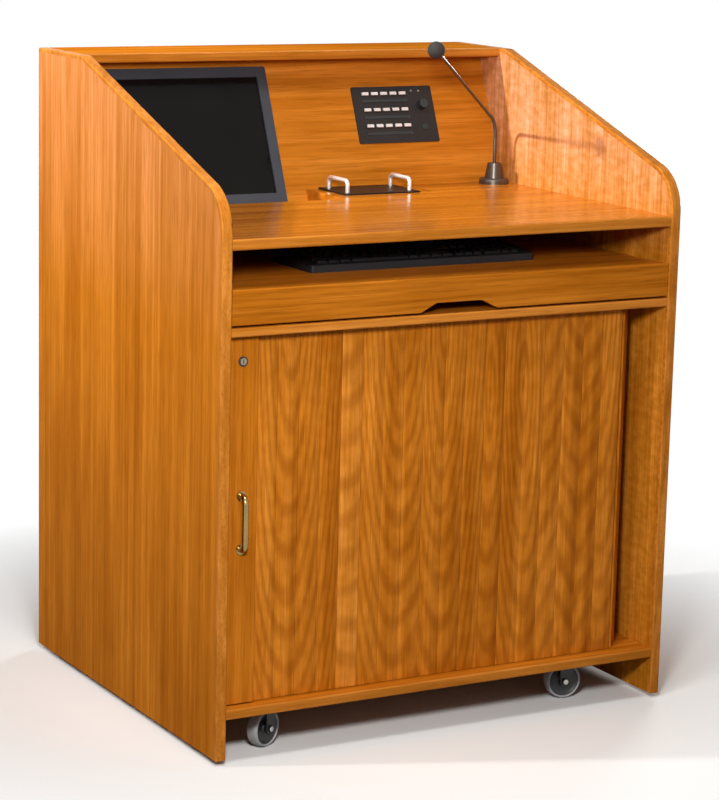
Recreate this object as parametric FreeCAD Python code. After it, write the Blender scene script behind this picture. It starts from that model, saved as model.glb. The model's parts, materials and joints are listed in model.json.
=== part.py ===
import FreeCAD, Part
import math
import os

# Oak multimedia lectern on castors, in millimetres.
# +Z is up, the floor is z = 0, the user stands at -Y, and the origin is under the centre of the footprint.

# Overall
width = 950.0
depth = 804.0
height = 1200.0
floor_gap = 10.0
side_thickness = 20.0

# Side panel outline
top_flat = 206.0
slope_angle = 18.2
nose_radius = 88.0
shoulder_radius = 25.0
lipping = 8.0
lipping_round = 3.0

# Boards between the sides
board_setback = 2.0
desk_drop = 267.0
desk_thickness = 19.0
slot_drop = 153.0
shelf_thickness = 16.0
bottom_top = 100.0
bottom_thickness = 18.0
cap_thickness = 17.0
cap_depth = 182.0
back_thickness = 18.0
back_bottom = 30.0

# Sloped instrument panel
panel_tilt = 23.3
panel_setback = 212.0
panel_thickness = 16.0
panel_drop = 40.0

# Well in the desk below the monitor
well_side_inset = 25.0
well_side_gap = 46.0
well_depth = 162.0
well_wall = 15.0
well_side_height = 12.0
well_floor_thickness = 9.0

# Monitor, on the slope: x across, s up the slope from the desk, w out of the panel
monitor_width = 358.0
monitor_inset = 51.0
monitor_top_margin = 20.2
monitor_low = -27.0
monitor_border = 21.0
bezel_thickness = 4.0
bezel_round = 5.0
bezel_overlap = 8.0
screen_thickness = 2.0
screen_margin = 6.0
housing_depth = 46.0
housing_clearance = 2.0
ear_reach = 18.0
ear_height = 30.0
ear_thickness = 3.0

# Control panel, on the slope
control_width = 184.5
control_height = 117.7
control_inset = 131.5
control_rise = 10.2
control_thickness = 3.0
control_round = 3.0
control_overlap = 8.0
control_box_depth = 38.0
control_box_clearance = 1.0
button_columns = 5
button_rows = 3
button_width = 14.5
button_height = 6.2
button_pitch_x = 21.4
button_pitch_s = 33.6
button_first_x = 28.6
button_first_s = 35.0
button_stand = 3.0
button_stem_width = 9.0
button_stem_height = 4.0
button_stem_length = 6.0
button_clearance = 0.4
button_travel = 1.2
knob_x = 155.0
knob_s = 77.0
knob_radius = 10.0
knob_length = 13.0
knob_taper = 1.0
knob_gap = 0.6
knob_shaft_radius = 3.0
knob_shaft_length = 10.0
shaft_clearance = 0.05

# Access cover on the desk
cover_width = 168.0
cover_depth = 115.0
cover_side_gap = 24.0
cover_back_gap = 4.0
cover_thickness = 3.0
cover_round = 4.0
cover_overlap = 8.0
cover_skirt_depth = 12.0
cover_skirt_wall = 3.0
cover_clearance = 0.6
cover_handle_inset = 14.5
cover_handle_spacing = 76.0
cover_handle_height = 27.0
cover_handle_rod = 8.0
cover_handle_bend = 9.0

# Microphone
mic_inset = 43.0
mic_setback = 36.0
mic_flange_radius = 30.0
mic_flange_thickness = 12.0
mic_cone_foot = 19.0
mic_cone_top = 13.5
mic_cone_height = 30.0
neck_radius = 3.6
neck_corner_height = 124.0
neck_bend = 45.0
neck_tail = 20.0
boom_left = 280.0
boom_forward = 226.0
boom_rise = 164.0
boom_radius = 3.2
head_radius = 17.0
head_socket = 6.0

# Keyboard tray
tray_front_height = 62.0
tray_front_thickness = 18.0
tray_front_gap = 4.0
tray_setback = 3.0
tray_side_clearance = 1.5
tray_round = 2.0
notch_foot = 162.0
notch_top = 96.0
notch_height = 17.0
notch_round = 14.0
tray_board_thickness = 12.0
tray_depth = 500.0
runner_height = 26.0
runner_thickness = 15.0
slide_width = 13.0
slide_height = 35.0
slide_lift = 22.0
slide_sheet = 1.4
slide_end_gap = 20.0
slide_clearance = 0.4

# Keyboard
keyboard_width = 470.0
keyboard_depth = 155.0
keyboard_setback = 127.0
keyboard_front = 13.0
keyboard_rear = 24.0
key_rows = 6
key_height = 4.0
key_margin = 9.0
key_gap = 3.0
key_block_share = 0.72

# Tambour door
door_setback = 34.0
slat_count = 20
slat_pitch = 42.6
slat_gap = 0.3
slat_thickness = 12.0
slat_bevel = 2.0
slat_end_gap = 1.0
tongue_thickness = 6.0
tongue_width = 20.0
tongue_length = 5.0
groove_width = 9.0
groove_depth = 6.5
bend_radius = 50.0
return_inset = 48.0
canvas_thickness = 0.8
canvas_gap = 0.05
canvas_end_gap = 8.0
canvas_tail = 6.0
stile_width = 62.0
stile_gap = 3.0
stile_proud = 10.0
stile_end_gap = 3.0
stile_round = 2.0
stile_tongue_inset = 5.0
liner_thickness = 6.0
liner_gap = 4.0
liner_setback = 76.0
handle_spacing = 96.0
handle_projection = 24.0
handle_rod = 11.0
handle_bend = 13.0
handle_foot_radius = 9.0
handle_foot_thickness = 3.0

# Lock in the lead stile
lock_drop = 46.0
lock_bezel_radius = 9.0
lock_bezel_thickness = 2.0
lock_barrel_radius = 8.0
plug_radius = 6.0
plug_stand = 1.0
plug_clearance = 0.05
key_slot_width = 1.8
key_slot_height = 7.0
key_slot_depth = 6.0
cam_length = 30.0
cam_width = 12.0
cam_thickness = 2.5
cam_gap = 0.5

# Castors
castor_inset_x = 148.0
castor_front = 80.0
castor_rear = 95.0
castor_plate = 60.0
castor_plate_thickness = 2.5
kingpin_radius = 5.0
kingpin_clearance = 0.05
kingpin_head_radius = 8.0
kingpin_head_height = 3.0
swivel_gap = 0.3
fork_sheet = 3.0
fork_crown_radius = 18.0
fork_eye_radius = 10.0
wheel_radius = 35.0
wheel_width = 24.0
hub_radius = 29.5
hub_width = 20.0
wheel_side_gap = 1.5
wheel_top_gap = 3.0
axle_radius = 4.0
axle_clearance = 0.05
axle_head_radius = 6.5
axle_head_height = 4.0
trail = 21.0
tyre_round = 4.0
plate_screw_inset = 9.0
plate_screw_radius = 4.5
plate_screw_height = 2.0
trail_directions = {"fl": 205.5, "fr": 170.0, "bl": 165.0, "br": 200.0}

# Places worked out from the sizes
inner = width / 2 - side_thickness
front = -depth / 2
back_depth = depth - board_setback - back_thickness
desk_height = height - desk_drop
shelf_top = desk_height - slot_drop
desk_under = desk_height - desk_thickness
shelf_under = shelf_top - shelf_thickness
bottom_under = bottom_top - bottom_thickness
cap_under = height - cap_thickness
panel_foot = depth - panel_setback
slope_length = (cap_under - desk_height) / math.cos(math.radians(panel_tilt))
monitor_left = -inner + monitor_inset
monitor_right = monitor_left + monitor_width
monitor_top = slope_length - monitor_top_margin
control_right = inner - control_inset
control_left = control_right - control_width
control_low = (slope_length - control_height) / 2 + control_rise
control_top = control_low + control_height
well_left = -inner + well_side_inset
well_right = monitor_right + well_side_gap
well_front = panel_foot - well_depth
cover_left = well_right + cover_side_gap
cover_right = cover_left + cover_width
cover_back = panel_foot - cover_back_gap
cover_front = cover_back - cover_depth
mic_x = inner - mic_inset
mic_y = panel_foot - mic_setback
slide_length = tray_depth - slide_end_gap
lock_height = shelf_under - lock_drop
handle_height = (bottom_top + shelf_under) / 2
V = FreeCAD.Vector
UP = V(0, 0, 1)
ACROSS = V(1, 0, 0)


def box(x0, x1, y0, y1, z0, z1):
    """A block between two corners; y is measured from the front edge of the sides."""
    return Part.makeBox(x1 - x0, y1 - y0, z1 - z0, V(x0, front + y0, z0))


def slope_block(x0, x1, s0, s1, w0, w1):
    """A block in the instrument panel's own coordinates."""
    return Part.makeBox(x1 - x0, s1 - s0, w1 - w0, V(x0, s0, w0))


def on_slope(shape):
    """Stands a shape built flat on the instrument panel's front face, from the desk line up."""
    placed = shape.copy()
    turn = FreeCAD.Rotation(ACROSS, 90 - panel_tilt)
    placed.Placement = FreeCAD.Placement(V(0, front + panel_foot, desk_height), turn)
    return placed


def cylinder(radius, length, base, axis):
    return Part.makeCylinder(radius, length, base, axis)


def rounded_outline(corners):
    """A closed wire through corners (point, radius), each corner turned by a tangent arc."""
    count = len(corners)
    edges = []
    previous = None
    first = None
    for i in range(count):
        point, radius = corners[i]
        before = (corners[i - 1][0] - point).normalize()
        after = (corners[(i + 1) % count][0] - point).normalize()
        if radius > 0:
            half = before.getAngle(after) / 2
            reach = radius / math.tan(half)
            start = point + before * reach
            end = point + after * reach
            middle = (before + after).normalize()
            crown = point + middle * (radius / math.sin(half) - radius)
            arc = Part.Arc(start, crown, end).toShape()
        else:
            start = point
            end = point
            arc = None
        if previous is None:
            first = start
        else:
            edges.append(Part.makeLine(previous, start))
        if arc is not None:
            edges.append(arc)
        previous = end
    edges.append(Part.makeLine(previous, first))
    return Part.Wire(Part.__sortEdges__(edges))


def rounded_plate(x0, x1, s0, s1, w0, w1, radius):
    """A plate with rounded corners, flat in its own coordinates."""
    points = [V(x0, s0, w0), V(x1, s0, w0), V(x1, s1, w0), V(x0, s1, w0)]
    corners = [(point, radius) for point in points]
    return Part.Face(rounded_outline(corners)).extrude(V(0, 0, w1 - w0))


def rod_handle(spacing, projection, rod, bend):
    """A D handle from one round rod: feet on z = 0 at y = 0 and y = spacing, grip at z = projection."""
    grip = projection - rod / 2
    path = [V(0, 0, 0), V(0, 0, grip - bend), V(0, bend, grip), V(0, spacing - bend, grip),
            V(0, spacing, grip - bend), V(0, spacing, 0)]
    slack = bend * (1 - math.sqrt(0.5))
    first_knee = Part.Arc(path[1], V(0, slack, grip - slack), path[2]).toShape()
    second_knee = Part.Arc(path[3], V(0, spacing - slack, grip - slack), path[4]).toShape()
    wire = Part.Wire([Part.makeLine(path[0], path[1]), first_knee, Part.makeLine(path[2], path[3]),
                      second_knee, Part.makeLine(path[4], path[5])])
    section = Part.Wire([Part.makeCircle(rod / 2, path[0], UP)])
    return wire.makePipeShell([section], True, True)


def round_front(shape, y_face, radius):
    """Rounds the long edges along x that lie on the front face at y."""
    long_edges = []
    for edge in shape.Edges:
        box_of = edge.BoundBox
        if box_of.YLength < 1e-6 and abs(box_of.YMin - y_face) < 1e-6 and box_of.ZLength < 1e-6:
            long_edges.append(edge)
    return shape.makeFillet(radius, long_edges)


# Side panels with their lippings

def side_outline(inset):
    """The side's outline in the YZ plane, drawn in by the lipping along its front, slope and top."""
    tilt = math.radians(slope_angle)
    slope_start = depth - top_flat
    lift = inset / math.cos(tilt)
    shoulder_y = slope_start + (lift - inset) / math.tan(tilt)
    nose_z = height - (slope_start - inset) * math.tan(tilt) - lift
    corners = [(inset, floor_gap, 0), (depth, floor_gap, 0), (depth, height - inset, 0),
               (shoulder_y, height - inset, shoulder_radius - inset), (inset, nose_z, nose_radius - inset)]
    return rounded_outline([(V(0, front + y, z), r) for y, z, r in corners])


def side_board(inset, x0):
    board = Part.Face(side_outline(inset)).extrude(V(side_thickness, 0, 0))
    board.translate(V(x0, 0, 0))
    return board


def side_lipping(x0):
    whole = side_board(0, x0)
    edges = []
    for edge in whole.Edges:
        on_face = edge.BoundBox.XLength < 1e-6
        clear_of_back = edge.BoundBox.YMin < depth / 2 - 1e-6
        if on_face and clear_of_back and edge.BoundBox.ZMax > floor_gap + 1e-6:
            edges.append(edge)
    return whole.makeFillet(lipping_round, edges).cut(side_board(lipping, x0))


side_x = {"left": -width / 2, "right": inner}
nodes = {}
for name, x0 in side_x.items():
    nodes["side_panel_" + name] = side_board(lipping, x0)


# Boards between the sides

def lipping_strip(y0, z0, z1):
    strip = box(-inner, inner, y0, y0 + lipping, z0, z1)
    return round_front(strip, front + y0, lipping_round)


behind_panel = on_slope(slope_block(-width, width, -height, height, -depth, 0))
cap_front = depth - board_setback - cap_depth
cap = box(-inner, inner, cap_front + lipping, depth - board_setback, cap_under, height)
lip_front = board_setback + lipping

desk = box(-inner, inner, lip_front, back_depth, desk_under, desk_height)
well_cut = box(well_left, well_right, well_front, back_depth, desk_under, desk_height)
hole = [cover_left + cover_overlap, cover_right - cover_overlap, cover_front + cover_overlap,
        cover_back - cover_overlap]
cover_cut = box(hole[0], hole[1], hole[2], hole[3], desk_under, desk_height)
desk = desk.cut(well_cut).cut(cover_cut).cut(behind_panel)

panel_low = desk_height - panel_drop
panel_length = (cap_under - panel_low) / math.cos(math.radians(panel_tilt)) + 2 * panel_thickness
panel_start = -panel_drop / math.cos(math.radians(panel_tilt)) - panel_thickness
panel = on_slope(slope_block(-inner, inner, panel_start, panel_start + panel_length, -panel_thickness, 0))
panel = panel.common(box(-inner, inner, 0, depth, panel_low, cap_under))

monitor_hole = slope_block(monitor_left + bezel_overlap, monitor_right - bezel_overlap,
                           monitor_low + bezel_overlap, monitor_top - bezel_overlap, -panel_thickness, 0)
control_hole = slope_block(control_left + control_overlap, control_right - control_overlap,
                           control_low + control_overlap, control_top - control_overlap, -panel_thickness, 0)
panel = panel.cut(on_slope(monitor_hole)).cut(on_slope(control_hole))

well_low = desk_under - well_side_height - well_floor_thickness
well_outside = [well_left - well_wall, well_right + well_wall, well_front - well_wall]
well_sides = box(well_outside[0], well_outside[1], well_outside[2], back_depth, desk_under - well_side_height,
                 desk_under)
well_sides = well_sides.cut(box(well_left, well_right, well_front, back_depth, 0, desk_under))
well_floor = box(well_outside[0], well_outside[1], well_outside[2], back_depth, well_low,
                 well_low + well_floor_thickness)
well = Part.makeCompound([well_sides.cut(behind_panel), well_floor.cut(behind_panel)])

back_panel = box(-inner, inner, back_depth, back_depth + back_thickness, back_bottom, cap_under)

lippings = [side_lipping(x0) for x0 in side_x.values()]
lippings.append(lipping_strip(cap_front, cap_under, height))
lippings.append(lipping_strip(board_setback, desk_under, desk_height))
lippings.append(lipping_strip(board_setback, shelf_under, shelf_top))
lippings.append(lipping_strip(board_setback, bottom_under, bottom_top))

nodes["oak_lippings"] = Part.makeCompound(lippings)
nodes["top_cap"] = cap
nodes["desk_top"] = desk
nodes["instrument_panel"] = panel
nodes["monitor_well"] = well
nodes["back_panel"] = back_panel


# Tambour door: its path runs along the front, round the bend and back along the right side

door_line = door_setback + slat_thickness / 2
return_x = inner - return_inset
bend_x = return_x - bend_radius
stile_left = -inner + stile_gap
stile_right = stile_left + stile_width
path_start = stile_right
straight = bend_x - path_start
arc_length = bend_radius * math.pi / 2


def on_path(shape, along):
    """Carries a shape built at the origin, facing -Y, to a distance along the door's path."""
    placed = shape.copy()
    if along <= straight:
        place = V(path_start + along, front + door_line, 0)
        angle = 0.0
    else:
        angle = min((along - straight) / bend_radius, math.pi / 2)
        beyond = max(along - straight - arc_length, 0.0)
        place = V(bend_x + bend_radius * math.sin(angle),
                  front + door_line + bend_radius * (1 - math.cos(angle)) + beyond, 0)
    placed.Placement = FreeCAD.Placement(place, FreeCAD.Rotation(UP, math.degrees(angle)))
    return placed


def path_band(x0, half_out, half_in, y_end, z0, z1):
    """A band along the path from x0 to y_end: half_out in front of its centre line, half_in behind it."""
    y_front = front + door_line
    centre = V(bend_x, y_front + bend_radius, z0)
    diagonal = math.sqrt(0.5)
    outer_r = bend_radius + half_out
    inner_r = bend_radius - half_in
    points = [V(x0, centre.y - outer_r, z0), V(bend_x, centre.y - outer_r, z0),
              V(bend_x + outer_r, centre.y, z0), V(bend_x + outer_r, front + y_end, z0),
              V(bend_x + inner_r, front + y_end, z0), V(bend_x + inner_r, centre.y, z0),
              V(bend_x, centre.y - inner_r, z0), V(x0, centre.y - inner_r, z0)]
    outer_mid = centre + V(outer_r * diagonal, -outer_r * diagonal, 0)
    inner_mid = centre + V(inner_r * diagonal, -inner_r * diagonal, 0)
    outer_arc = Part.Arc(points[1], outer_mid, points[2]).toShape()
    inner_arc = Part.Arc(points[5], inner_mid, points[6]).toShape()
    wire = Part.Wire([Part.makeLine(points[0], points[1]), outer_arc, Part.makeLine(points[2], points[3]),
                      Part.makeLine(points[3], points[4]), Part.makeLine(points[4], points[5]), inner_arc,
                      Part.makeLine(points[6], points[7]), Part.makeLine(points[7], points[0])])
    return Part.Face(wire).extrude(V(0, 0, z1 - z0))


half_groove = groove_width / 2
slat_low = bottom_top + slat_end_gap
slat_high = shelf_under - slat_end_gap
bottom = box(-inner, inner, lip_front, back_depth, bottom_under, bottom_top)
bottom_groove = path_band(-inner, half_groove, half_groove, back_depth, bottom_top - groove_depth, bottom_top)
bottom = bottom.cut(bottom_groove)
shelf = box(-inner, inner, lip_front, back_depth, shelf_under, shelf_top)
shelf_groove = path_band(-inner, half_groove, half_groove, back_depth, shelf_under,
                         shelf_under + groove_depth)
shelf = shelf.cut(shelf_groove)

half_width = (slat_pitch - slat_gap) / 2
half_thick = slat_thickness / 2
slat_section = Part.makePolygon([V(-half_width, -half_thick, slat_low), V(half_width, -half_thick, slat_low),
                                 V(half_width - slat_bevel, half_thick, slat_low),
                                 V(slat_bevel - half_width, half_thick, slat_low),
                                 V(-half_width, -half_thick, slat_low)])
slat = Part.Face(slat_section).extrude(V(0, 0, slat_high - slat_low))
tongue_low = bottom_top - tongue_length
tongue_high = shelf_under + tongue_length
tongue = Part.makeBox(tongue_width, tongue_thickness, tongue_high - tongue_low,
                      V(-tongue_width / 2, -tongue_thickness / 2, tongue_low))
slat = slat.fuse(tongue).removeSplitter()
slats = [on_path(slat, slat_gap / 2 + (i + 0.5) * slat_pitch) for i in range(slat_count)]

canvas_out = -half_thick - canvas_gap
canvas_end = door_line + bend_radius + canvas_tail
canvas = path_band(path_start + slat_gap, canvas_out, -canvas_out + canvas_thickness, canvas_end,
                   slat_low + canvas_end_gap, slat_high - canvas_end_gap)

liner_x = return_x - half_thick - canvas_thickness - liner_gap
liner = box(liner_x - liner_thickness, liner_x, door_setback + liner_setback, back_depth, bottom_top,
            shelf_under)

stile_front = door_setback - stile_proud
stile_back = door_setback + slat_thickness
stile = box(stile_left, stile_right, stile_front, stile_back, bottom_top + stile_end_gap,
            shelf_under - stile_end_gap)
upright_edges = []
for edge in stile.Edges:
    if edge.BoundBox.ZLength > stile_round and abs(edge.BoundBox.YMin - (front + stile_front)) < 1e-6:
        upright_edges.append(edge)
stile = stile.makeFillet(stile_round, upright_edges)
stile_tongue = box(stile_left + stile_tongue_inset, stile_right - stile_tongue_inset,
                   door_line - tongue_thickness / 2, door_line + tongue_thickness / 2, tongue_low,
                   tongue_high)
stile = stile.fuse(stile_tongue).removeSplitter()

lock_x = (stile_left + stile_right) / 2
lock_face = V(lock_x, front + stile_front, lock_height)
INTO = V(0, 1, 0)
stile = stile.cut(cylinder(lock_barrel_radius, stile_back, lock_face, INTO))
barrel_length = stile_back - stile_front
barrel = cylinder(lock_barrel_radius, barrel_length, lock_face, INTO)
bezel_ring = cylinder(lock_bezel_radius, lock_bezel_thickness, lock_face - INTO * lock_bezel_thickness, INTO)
plug_bore = cylinder(plug_radius + plug_clearance, barrel_length + lock_bezel_thickness,
                     lock_face - INTO * lock_bezel_thickness, INTO)
lock_body = barrel.fuse(bezel_ring).cut(plug_bore).removeSplitter()
plug_face = lock_face - INTO * (lock_bezel_thickness + plug_stand)
plug_length = plug_stand + lock_bezel_thickness + barrel_length + cam_gap
plug = cylinder(plug_radius, plug_length, plug_face, INTO)
key_slot = Part.makeBox(key_slot_width, key_slot_depth, key_slot_height,
                        plug_face - V(key_slot_width / 2, 0, key_slot_height / 2))
cam_corner = V(lock_x - cam_width / 2, plug_face.y + plug_length, lock_height - cam_length)
cam = Part.makeBox(cam_width, cam_thickness, cam_length + cam_width / 2, cam_corner)
plug = plug.cut(key_slot).fuse(cam).removeSplitter()

pull = rod_handle(handle_spacing, handle_projection, handle_rod, handle_bend)
for foot in (0.0, handle_spacing):
    pull = pull.fuse(cylinder(handle_foot_radius, handle_foot_thickness, V(0, foot, 0), UP))
pull = pull.removeSplitter()
pull.Placement = FreeCAD.Placement(V(lock_x, front + stile_front, handle_height - handle_spacing / 2),
                                   FreeCAD.Rotation(ACROSS, 90))

nodes["bottom_board"] = bottom
nodes["mid_shelf"] = shelf
nodes["tambour_slats"] = Part.makeCompound(slats)
nodes["tambour_canvas"] = canvas
nodes["pocket_liner"] = liner
nodes["lead_stile"] = stile
nodes["stile_handle"] = pull
nodes["lock_body"] = lock_body
nodes["lock_plug"] = plug


# Keyboard tray, its front, its slides and the keyboard

tray_low = shelf_top + tray_front_gap
tray_top = tray_low + tray_front_height
tray_half = inner - tray_side_clearance
tray_front = box(-tray_half, tray_half, tray_setback, tray_setback + tray_front_thickness, tray_low, tray_top)
tray_front = round_front(tray_front, front + tray_setback, tray_round)
notch_high = tray_low + notch_height
notch_corners = [(V(-notch_foot / 2, front, tray_low), 0), (V(notch_foot / 2, front, tray_low), 0),
                 (V(notch_top / 2, front, notch_high), notch_round),
                 (V(-notch_top / 2, front, notch_high), notch_round)]
notch = Part.Face(rounded_outline(notch_corners)).extrude(V(0, tray_setback + tray_front_thickness, 0))
tray_front = tray_front.cut(notch)

tray_side = inner - slide_width
tray_start = tray_setback + tray_front_thickness
board_top = tray_top
board_low = board_top - tray_board_thickness
tray_board = box(-tray_side, tray_side, tray_start, tray_start + tray_depth, board_low, board_top)
tray_solids = [tray_board]
for x0 in (-tray_side, tray_side - runner_thickness):
    tray_solids.append(box(x0, x0 + runner_thickness, tray_start, tray_start + tray_depth,
                           board_low - runner_height, board_low))


def slide_channel(inset, reach, height_of, wall_side):
    """One channel of a drawer slide; its web stands inset from the wall and its flanges run to reach."""
    low = tray_low + slide_lift + (slide_height - height_of) / 2
    start = tray_start + slide_sheet
    web = min(inset, reach), max(inset, reach)
    block = box(web[0], web[1], start, start + slide_length, low, low + height_of)
    opening_x = (web[0] + slide_sheet, web[1]) if inset < reach else (web[0], web[1] - slide_sheet)
    opening = box(opening_x[0], opening_x[1], start, start + slide_length, low + slide_sheet,
                  low + height_of - slide_sheet)
    channel = block.cut(opening)
    if wall_side < 0:
        channel.translate(V(-inner, 0, 0))
    else:
        channel = channel.mirror(V(0, 0, 0), ACROSS)
        channel.translate(V(inner, 0, 0))
    return channel


step = slide_sheet + slide_clearance
outer_reach = slide_width - step
middle_reach = slide_width - step
inner_reach = 2 * step + slide_sheet
slides = {"slide_outers": (0.0, outer_reach, slide_height),
          "slide_middles": (step, middle_reach, slide_height - 2 * step),
          "slide_inners": (slide_width, inner_reach, slide_height - 4 * step)}
for name, (inset, reach, tall) in slides.items():
    nodes[name] = Part.makeCompound([slide_channel(inset, reach, tall, side) for side in (-1, 1)])

key_y0 = keyboard_setback
key_y1 = key_y0 + keyboard_depth
case_section = Part.makePolygon([V(0, front + key_y0, board_top), V(0, front + key_y1, board_top),
                                 V(0, front + key_y1, board_top + keyboard_rear),
                                 V(0, front + key_y0, board_top + keyboard_front),
                                 V(0, front + key_y0, board_top)])
case = Part.Face(case_section).extrude(V(keyboard_width, 0, 0))
case.translate(V(-keyboard_width / 2, 0, 0))
key_slope = math.atan2(keyboard_rear - keyboard_front, keyboard_depth)
row_depth = (keyboard_depth - 2 * key_margin) / key_rows
keys_width = keyboard_width - 2 * key_margin
blocks = [(0.0, keys_width * key_block_share), (keys_width * key_block_share + key_gap, keys_width)]
keyboard_solids = [case]
for row in range(key_rows):
    for start, end in blocks:
        row_bar = Part.makeBox(end - start, row_depth - key_gap, key_height,
                               V(start - keys_width / 2, key_margin + row * row_depth + key_gap / 2, 0))
        row_bar.Placement = FreeCAD.Placement(V(0, front + key_y0, board_top + keyboard_front),
                                              FreeCAD.Rotation(ACROSS, math.degrees(key_slope)))
        keyboard_solids.append(row_bar)

nodes["tray_board"] = Part.makeCompound(tray_solids)
nodes["tray_front"] = tray_front
nodes["keyboard"] = Part.makeCompound(keyboard_solids)


# Monitor in the instrument panel

bezel = rounded_plate(monitor_left, monitor_right, monitor_low, monitor_top, 0, bezel_thickness, bezel_round)
view = [monitor_left + monitor_border, monitor_right - monitor_border, monitor_low + monitor_border,
        monitor_top - monitor_border]
bezel = bezel.cut(slope_block(view[0], view[1], view[2], view[3], 0, bezel_thickness))
screen = slope_block(view[0] - screen_margin, view[1] + screen_margin, view[2] - screen_margin,
                     view[3] + screen_margin, -screen_thickness, 0)
rear = bezel_overlap + housing_clearance
housing_x = (monitor_left + rear, monitor_right - rear)
housing = slope_block(housing_x[0], housing_x[1], monitor_low + rear, monitor_top - rear,
                      -screen_thickness - housing_depth, -screen_thickness)
ear_s = ((monitor_low + monitor_top) / 2 - ear_height / 2, (monitor_low + monitor_top) / 2 + ear_height / 2)
ears = slope_block(housing_x[0] - ear_reach, housing_x[1] + ear_reach, ear_s[0], ear_s[1],
                   -panel_thickness - ear_thickness, -panel_thickness)
nodes["monitor_bezel"] = on_slope(bezel)
nodes["monitor_screen"] = on_slope(screen)
nodes["monitor_housing"] = on_slope(housing.fuse(ears).removeSplitter())


# Control panel with its buttons and knob

control_plate = rounded_plate(control_left, control_right, control_low, control_top, 0, control_thickness,
                              control_round)
box_margin = control_overlap + control_box_clearance
control_box = slope_block(control_left + box_margin, control_right - box_margin, control_low + box_margin,
                          control_top - box_margin, -control_box_depth, 0)


def button_shape(x, s, grow):
    """A button cap with its stem, grown on every side where it serves to cut the stem's hole."""
    stem_x = button_stem_width / 2 + grow
    stem_s = button_stem_height / 2 + grow
    stem_low = -button_stem_length - grow
    stem = slope_block(x - stem_x, x + stem_x, s - stem_s, s + stem_s, stem_low, control_thickness)
    if grow:
        return stem
    cap_low = control_thickness + button_travel + button_clearance
    neck = slope_block(x - stem_x, x + stem_x, s - stem_s, s + stem_s, control_thickness, cap_low)
    face_x = button_width / 2
    face_s = button_height / 2
    face = slope_block(x - face_x, x + face_x, s - face_s, s + face_s, cap_low, cap_low + button_stand)
    top_edges = [edge for edge in face.Edges if edge.BoundBox.ZMin > cap_low + button_stand - 1e-6]
    face = face.makeFillet(button_clearance, top_edges)
    return stem.fuse(neck).fuse(face).removeSplitter()


def cut_for_travel(shape, x, s):
    hole_of = button_shape(x, s, button_clearance)
    deeper = hole_of.copy()
    deeper.translate(V(0, 0, -button_travel))
    return shape.cut(hole_of).cut(deeper)


for row in range(button_rows):
    for column in range(button_columns):
        x = control_left + button_first_x + column * button_pitch_x
        s = control_low + button_first_s + (button_rows - 1 - row) * button_pitch_s
        control_plate = cut_for_travel(control_plate, x, s)
        control_box = cut_for_travel(control_box, x, s)
        nodes["button_%d_%d" % (row + 1, column + 1)] = on_slope(button_shape(x, s, 0))

knob_centre = V(control_left + knob_x, control_low + knob_s, control_thickness + knob_gap)
knob_foot = V(knob_centre.x, knob_centre.y, -knob_shaft_length)
bore_length = knob_gap + knob_shaft_length + control_thickness
knob_bore = cylinder(knob_shaft_radius + shaft_clearance, bore_length, knob_foot - UP * knob_gap, UP)
control_plate = control_plate.cut(knob_bore)
control_box = control_box.cut(knob_bore)
knob = Part.makeCone(knob_radius, knob_radius - knob_taper, knob_length, knob_centre, UP)
pointer = slope_block(knob_centre.x - knob_taper / 2, knob_centre.x + knob_taper / 2, knob_centre.y,
                      knob_centre.y + knob_radius, knob_centre.z + knob_length - knob_taper,
                      knob_centre.z + knob_length)
knob_shaft = cylinder(knob_shaft_radius, knob_shaft_length + knob_centre.z, knob_foot, UP)
knob = knob.cut(pointer).fuse(knob_shaft).removeSplitter()
nodes["control_plate"] = on_slope(control_plate)
nodes["control_box"] = on_slope(control_box)
nodes["volume_knob"] = on_slope(knob)


# Access cover on the desk

cover = rounded_plate(cover_left, cover_right, front + cover_front, front + cover_back, desk_height,
                      desk_height + cover_thickness, cover_round)
skirt_low = desk_height - cover_skirt_depth


def skirt_block(inset):
    """The cut-out's outline drawn in by inset, over the skirt's depth."""
    return box(hole[0] + inset, hole[1] - inset, hole[2] + inset, hole[3] - inset, skirt_low, desk_height)


skirt_ring = skirt_block(cover_clearance).cut(skirt_block(cover_clearance + cover_skirt_wall))
cover_pulls = []
for x in (cover_left + cover_handle_inset, cover_right - cover_handle_inset):
    cover_pull = rod_handle(cover_handle_spacing, cover_handle_height, cover_handle_rod, cover_handle_bend)
    middle = cover_front + cover_depth / 2 - cover_handle_spacing / 2
    cover_pull.translate(V(x, front + middle, desk_height + cover_thickness))
    cover_pulls.append(cover_pull)
nodes["access_plate"] = cover.fuse(skirt_ring).removeSplitter()
nodes["access_handles"] = Part.makeCompound(cover_pulls)


# Gooseneck microphone

mic_foot = V(mic_x, front + mic_y, desk_height)
flange = cylinder(mic_flange_radius, mic_flange_thickness, mic_foot, UP)
flange_top = [e for e in flange.Edges if e.BoundBox.ZMin > desk_height + mic_flange_thickness - 1e-6]
flange = flange.makeFillet(mic_flange_thickness / 2, flange_top)
cone_foot = mic_foot + UP * mic_flange_thickness
cone = Part.makeCone(mic_cone_foot, mic_cone_top, mic_cone_height, cone_foot, UP)
neck_start = cone_foot + UP * mic_cone_height
corner = mic_foot + UP * neck_corner_height
boom = V(-boom_left, -boom_forward, boom_rise)
lean = V(boom).normalize()
half_turn = UP.getAngle(lean) / 2
neck_reach = neck_bend * math.tan(half_turn)
bend_start = corner - UP * neck_reach
bend_end = corner + lean * neck_reach
toward = (lean - UP).normalize()
crown = corner + toward * (neck_bend / math.cos(half_turn) - neck_bend)
neck_end = bend_end + lean * neck_tail
neck_path = Part.Wire([Part.makeLine(neck_start, bend_start), Part.Arc(bend_start, crown, bend_end).toShape(),
                       Part.makeLine(bend_end, neck_end)])
neck = neck_path.makePipeShell([Part.Wire([Part.makeCircle(neck_radius, neck_start, UP)])], True, True)
head_centre = corner + boom
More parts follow.
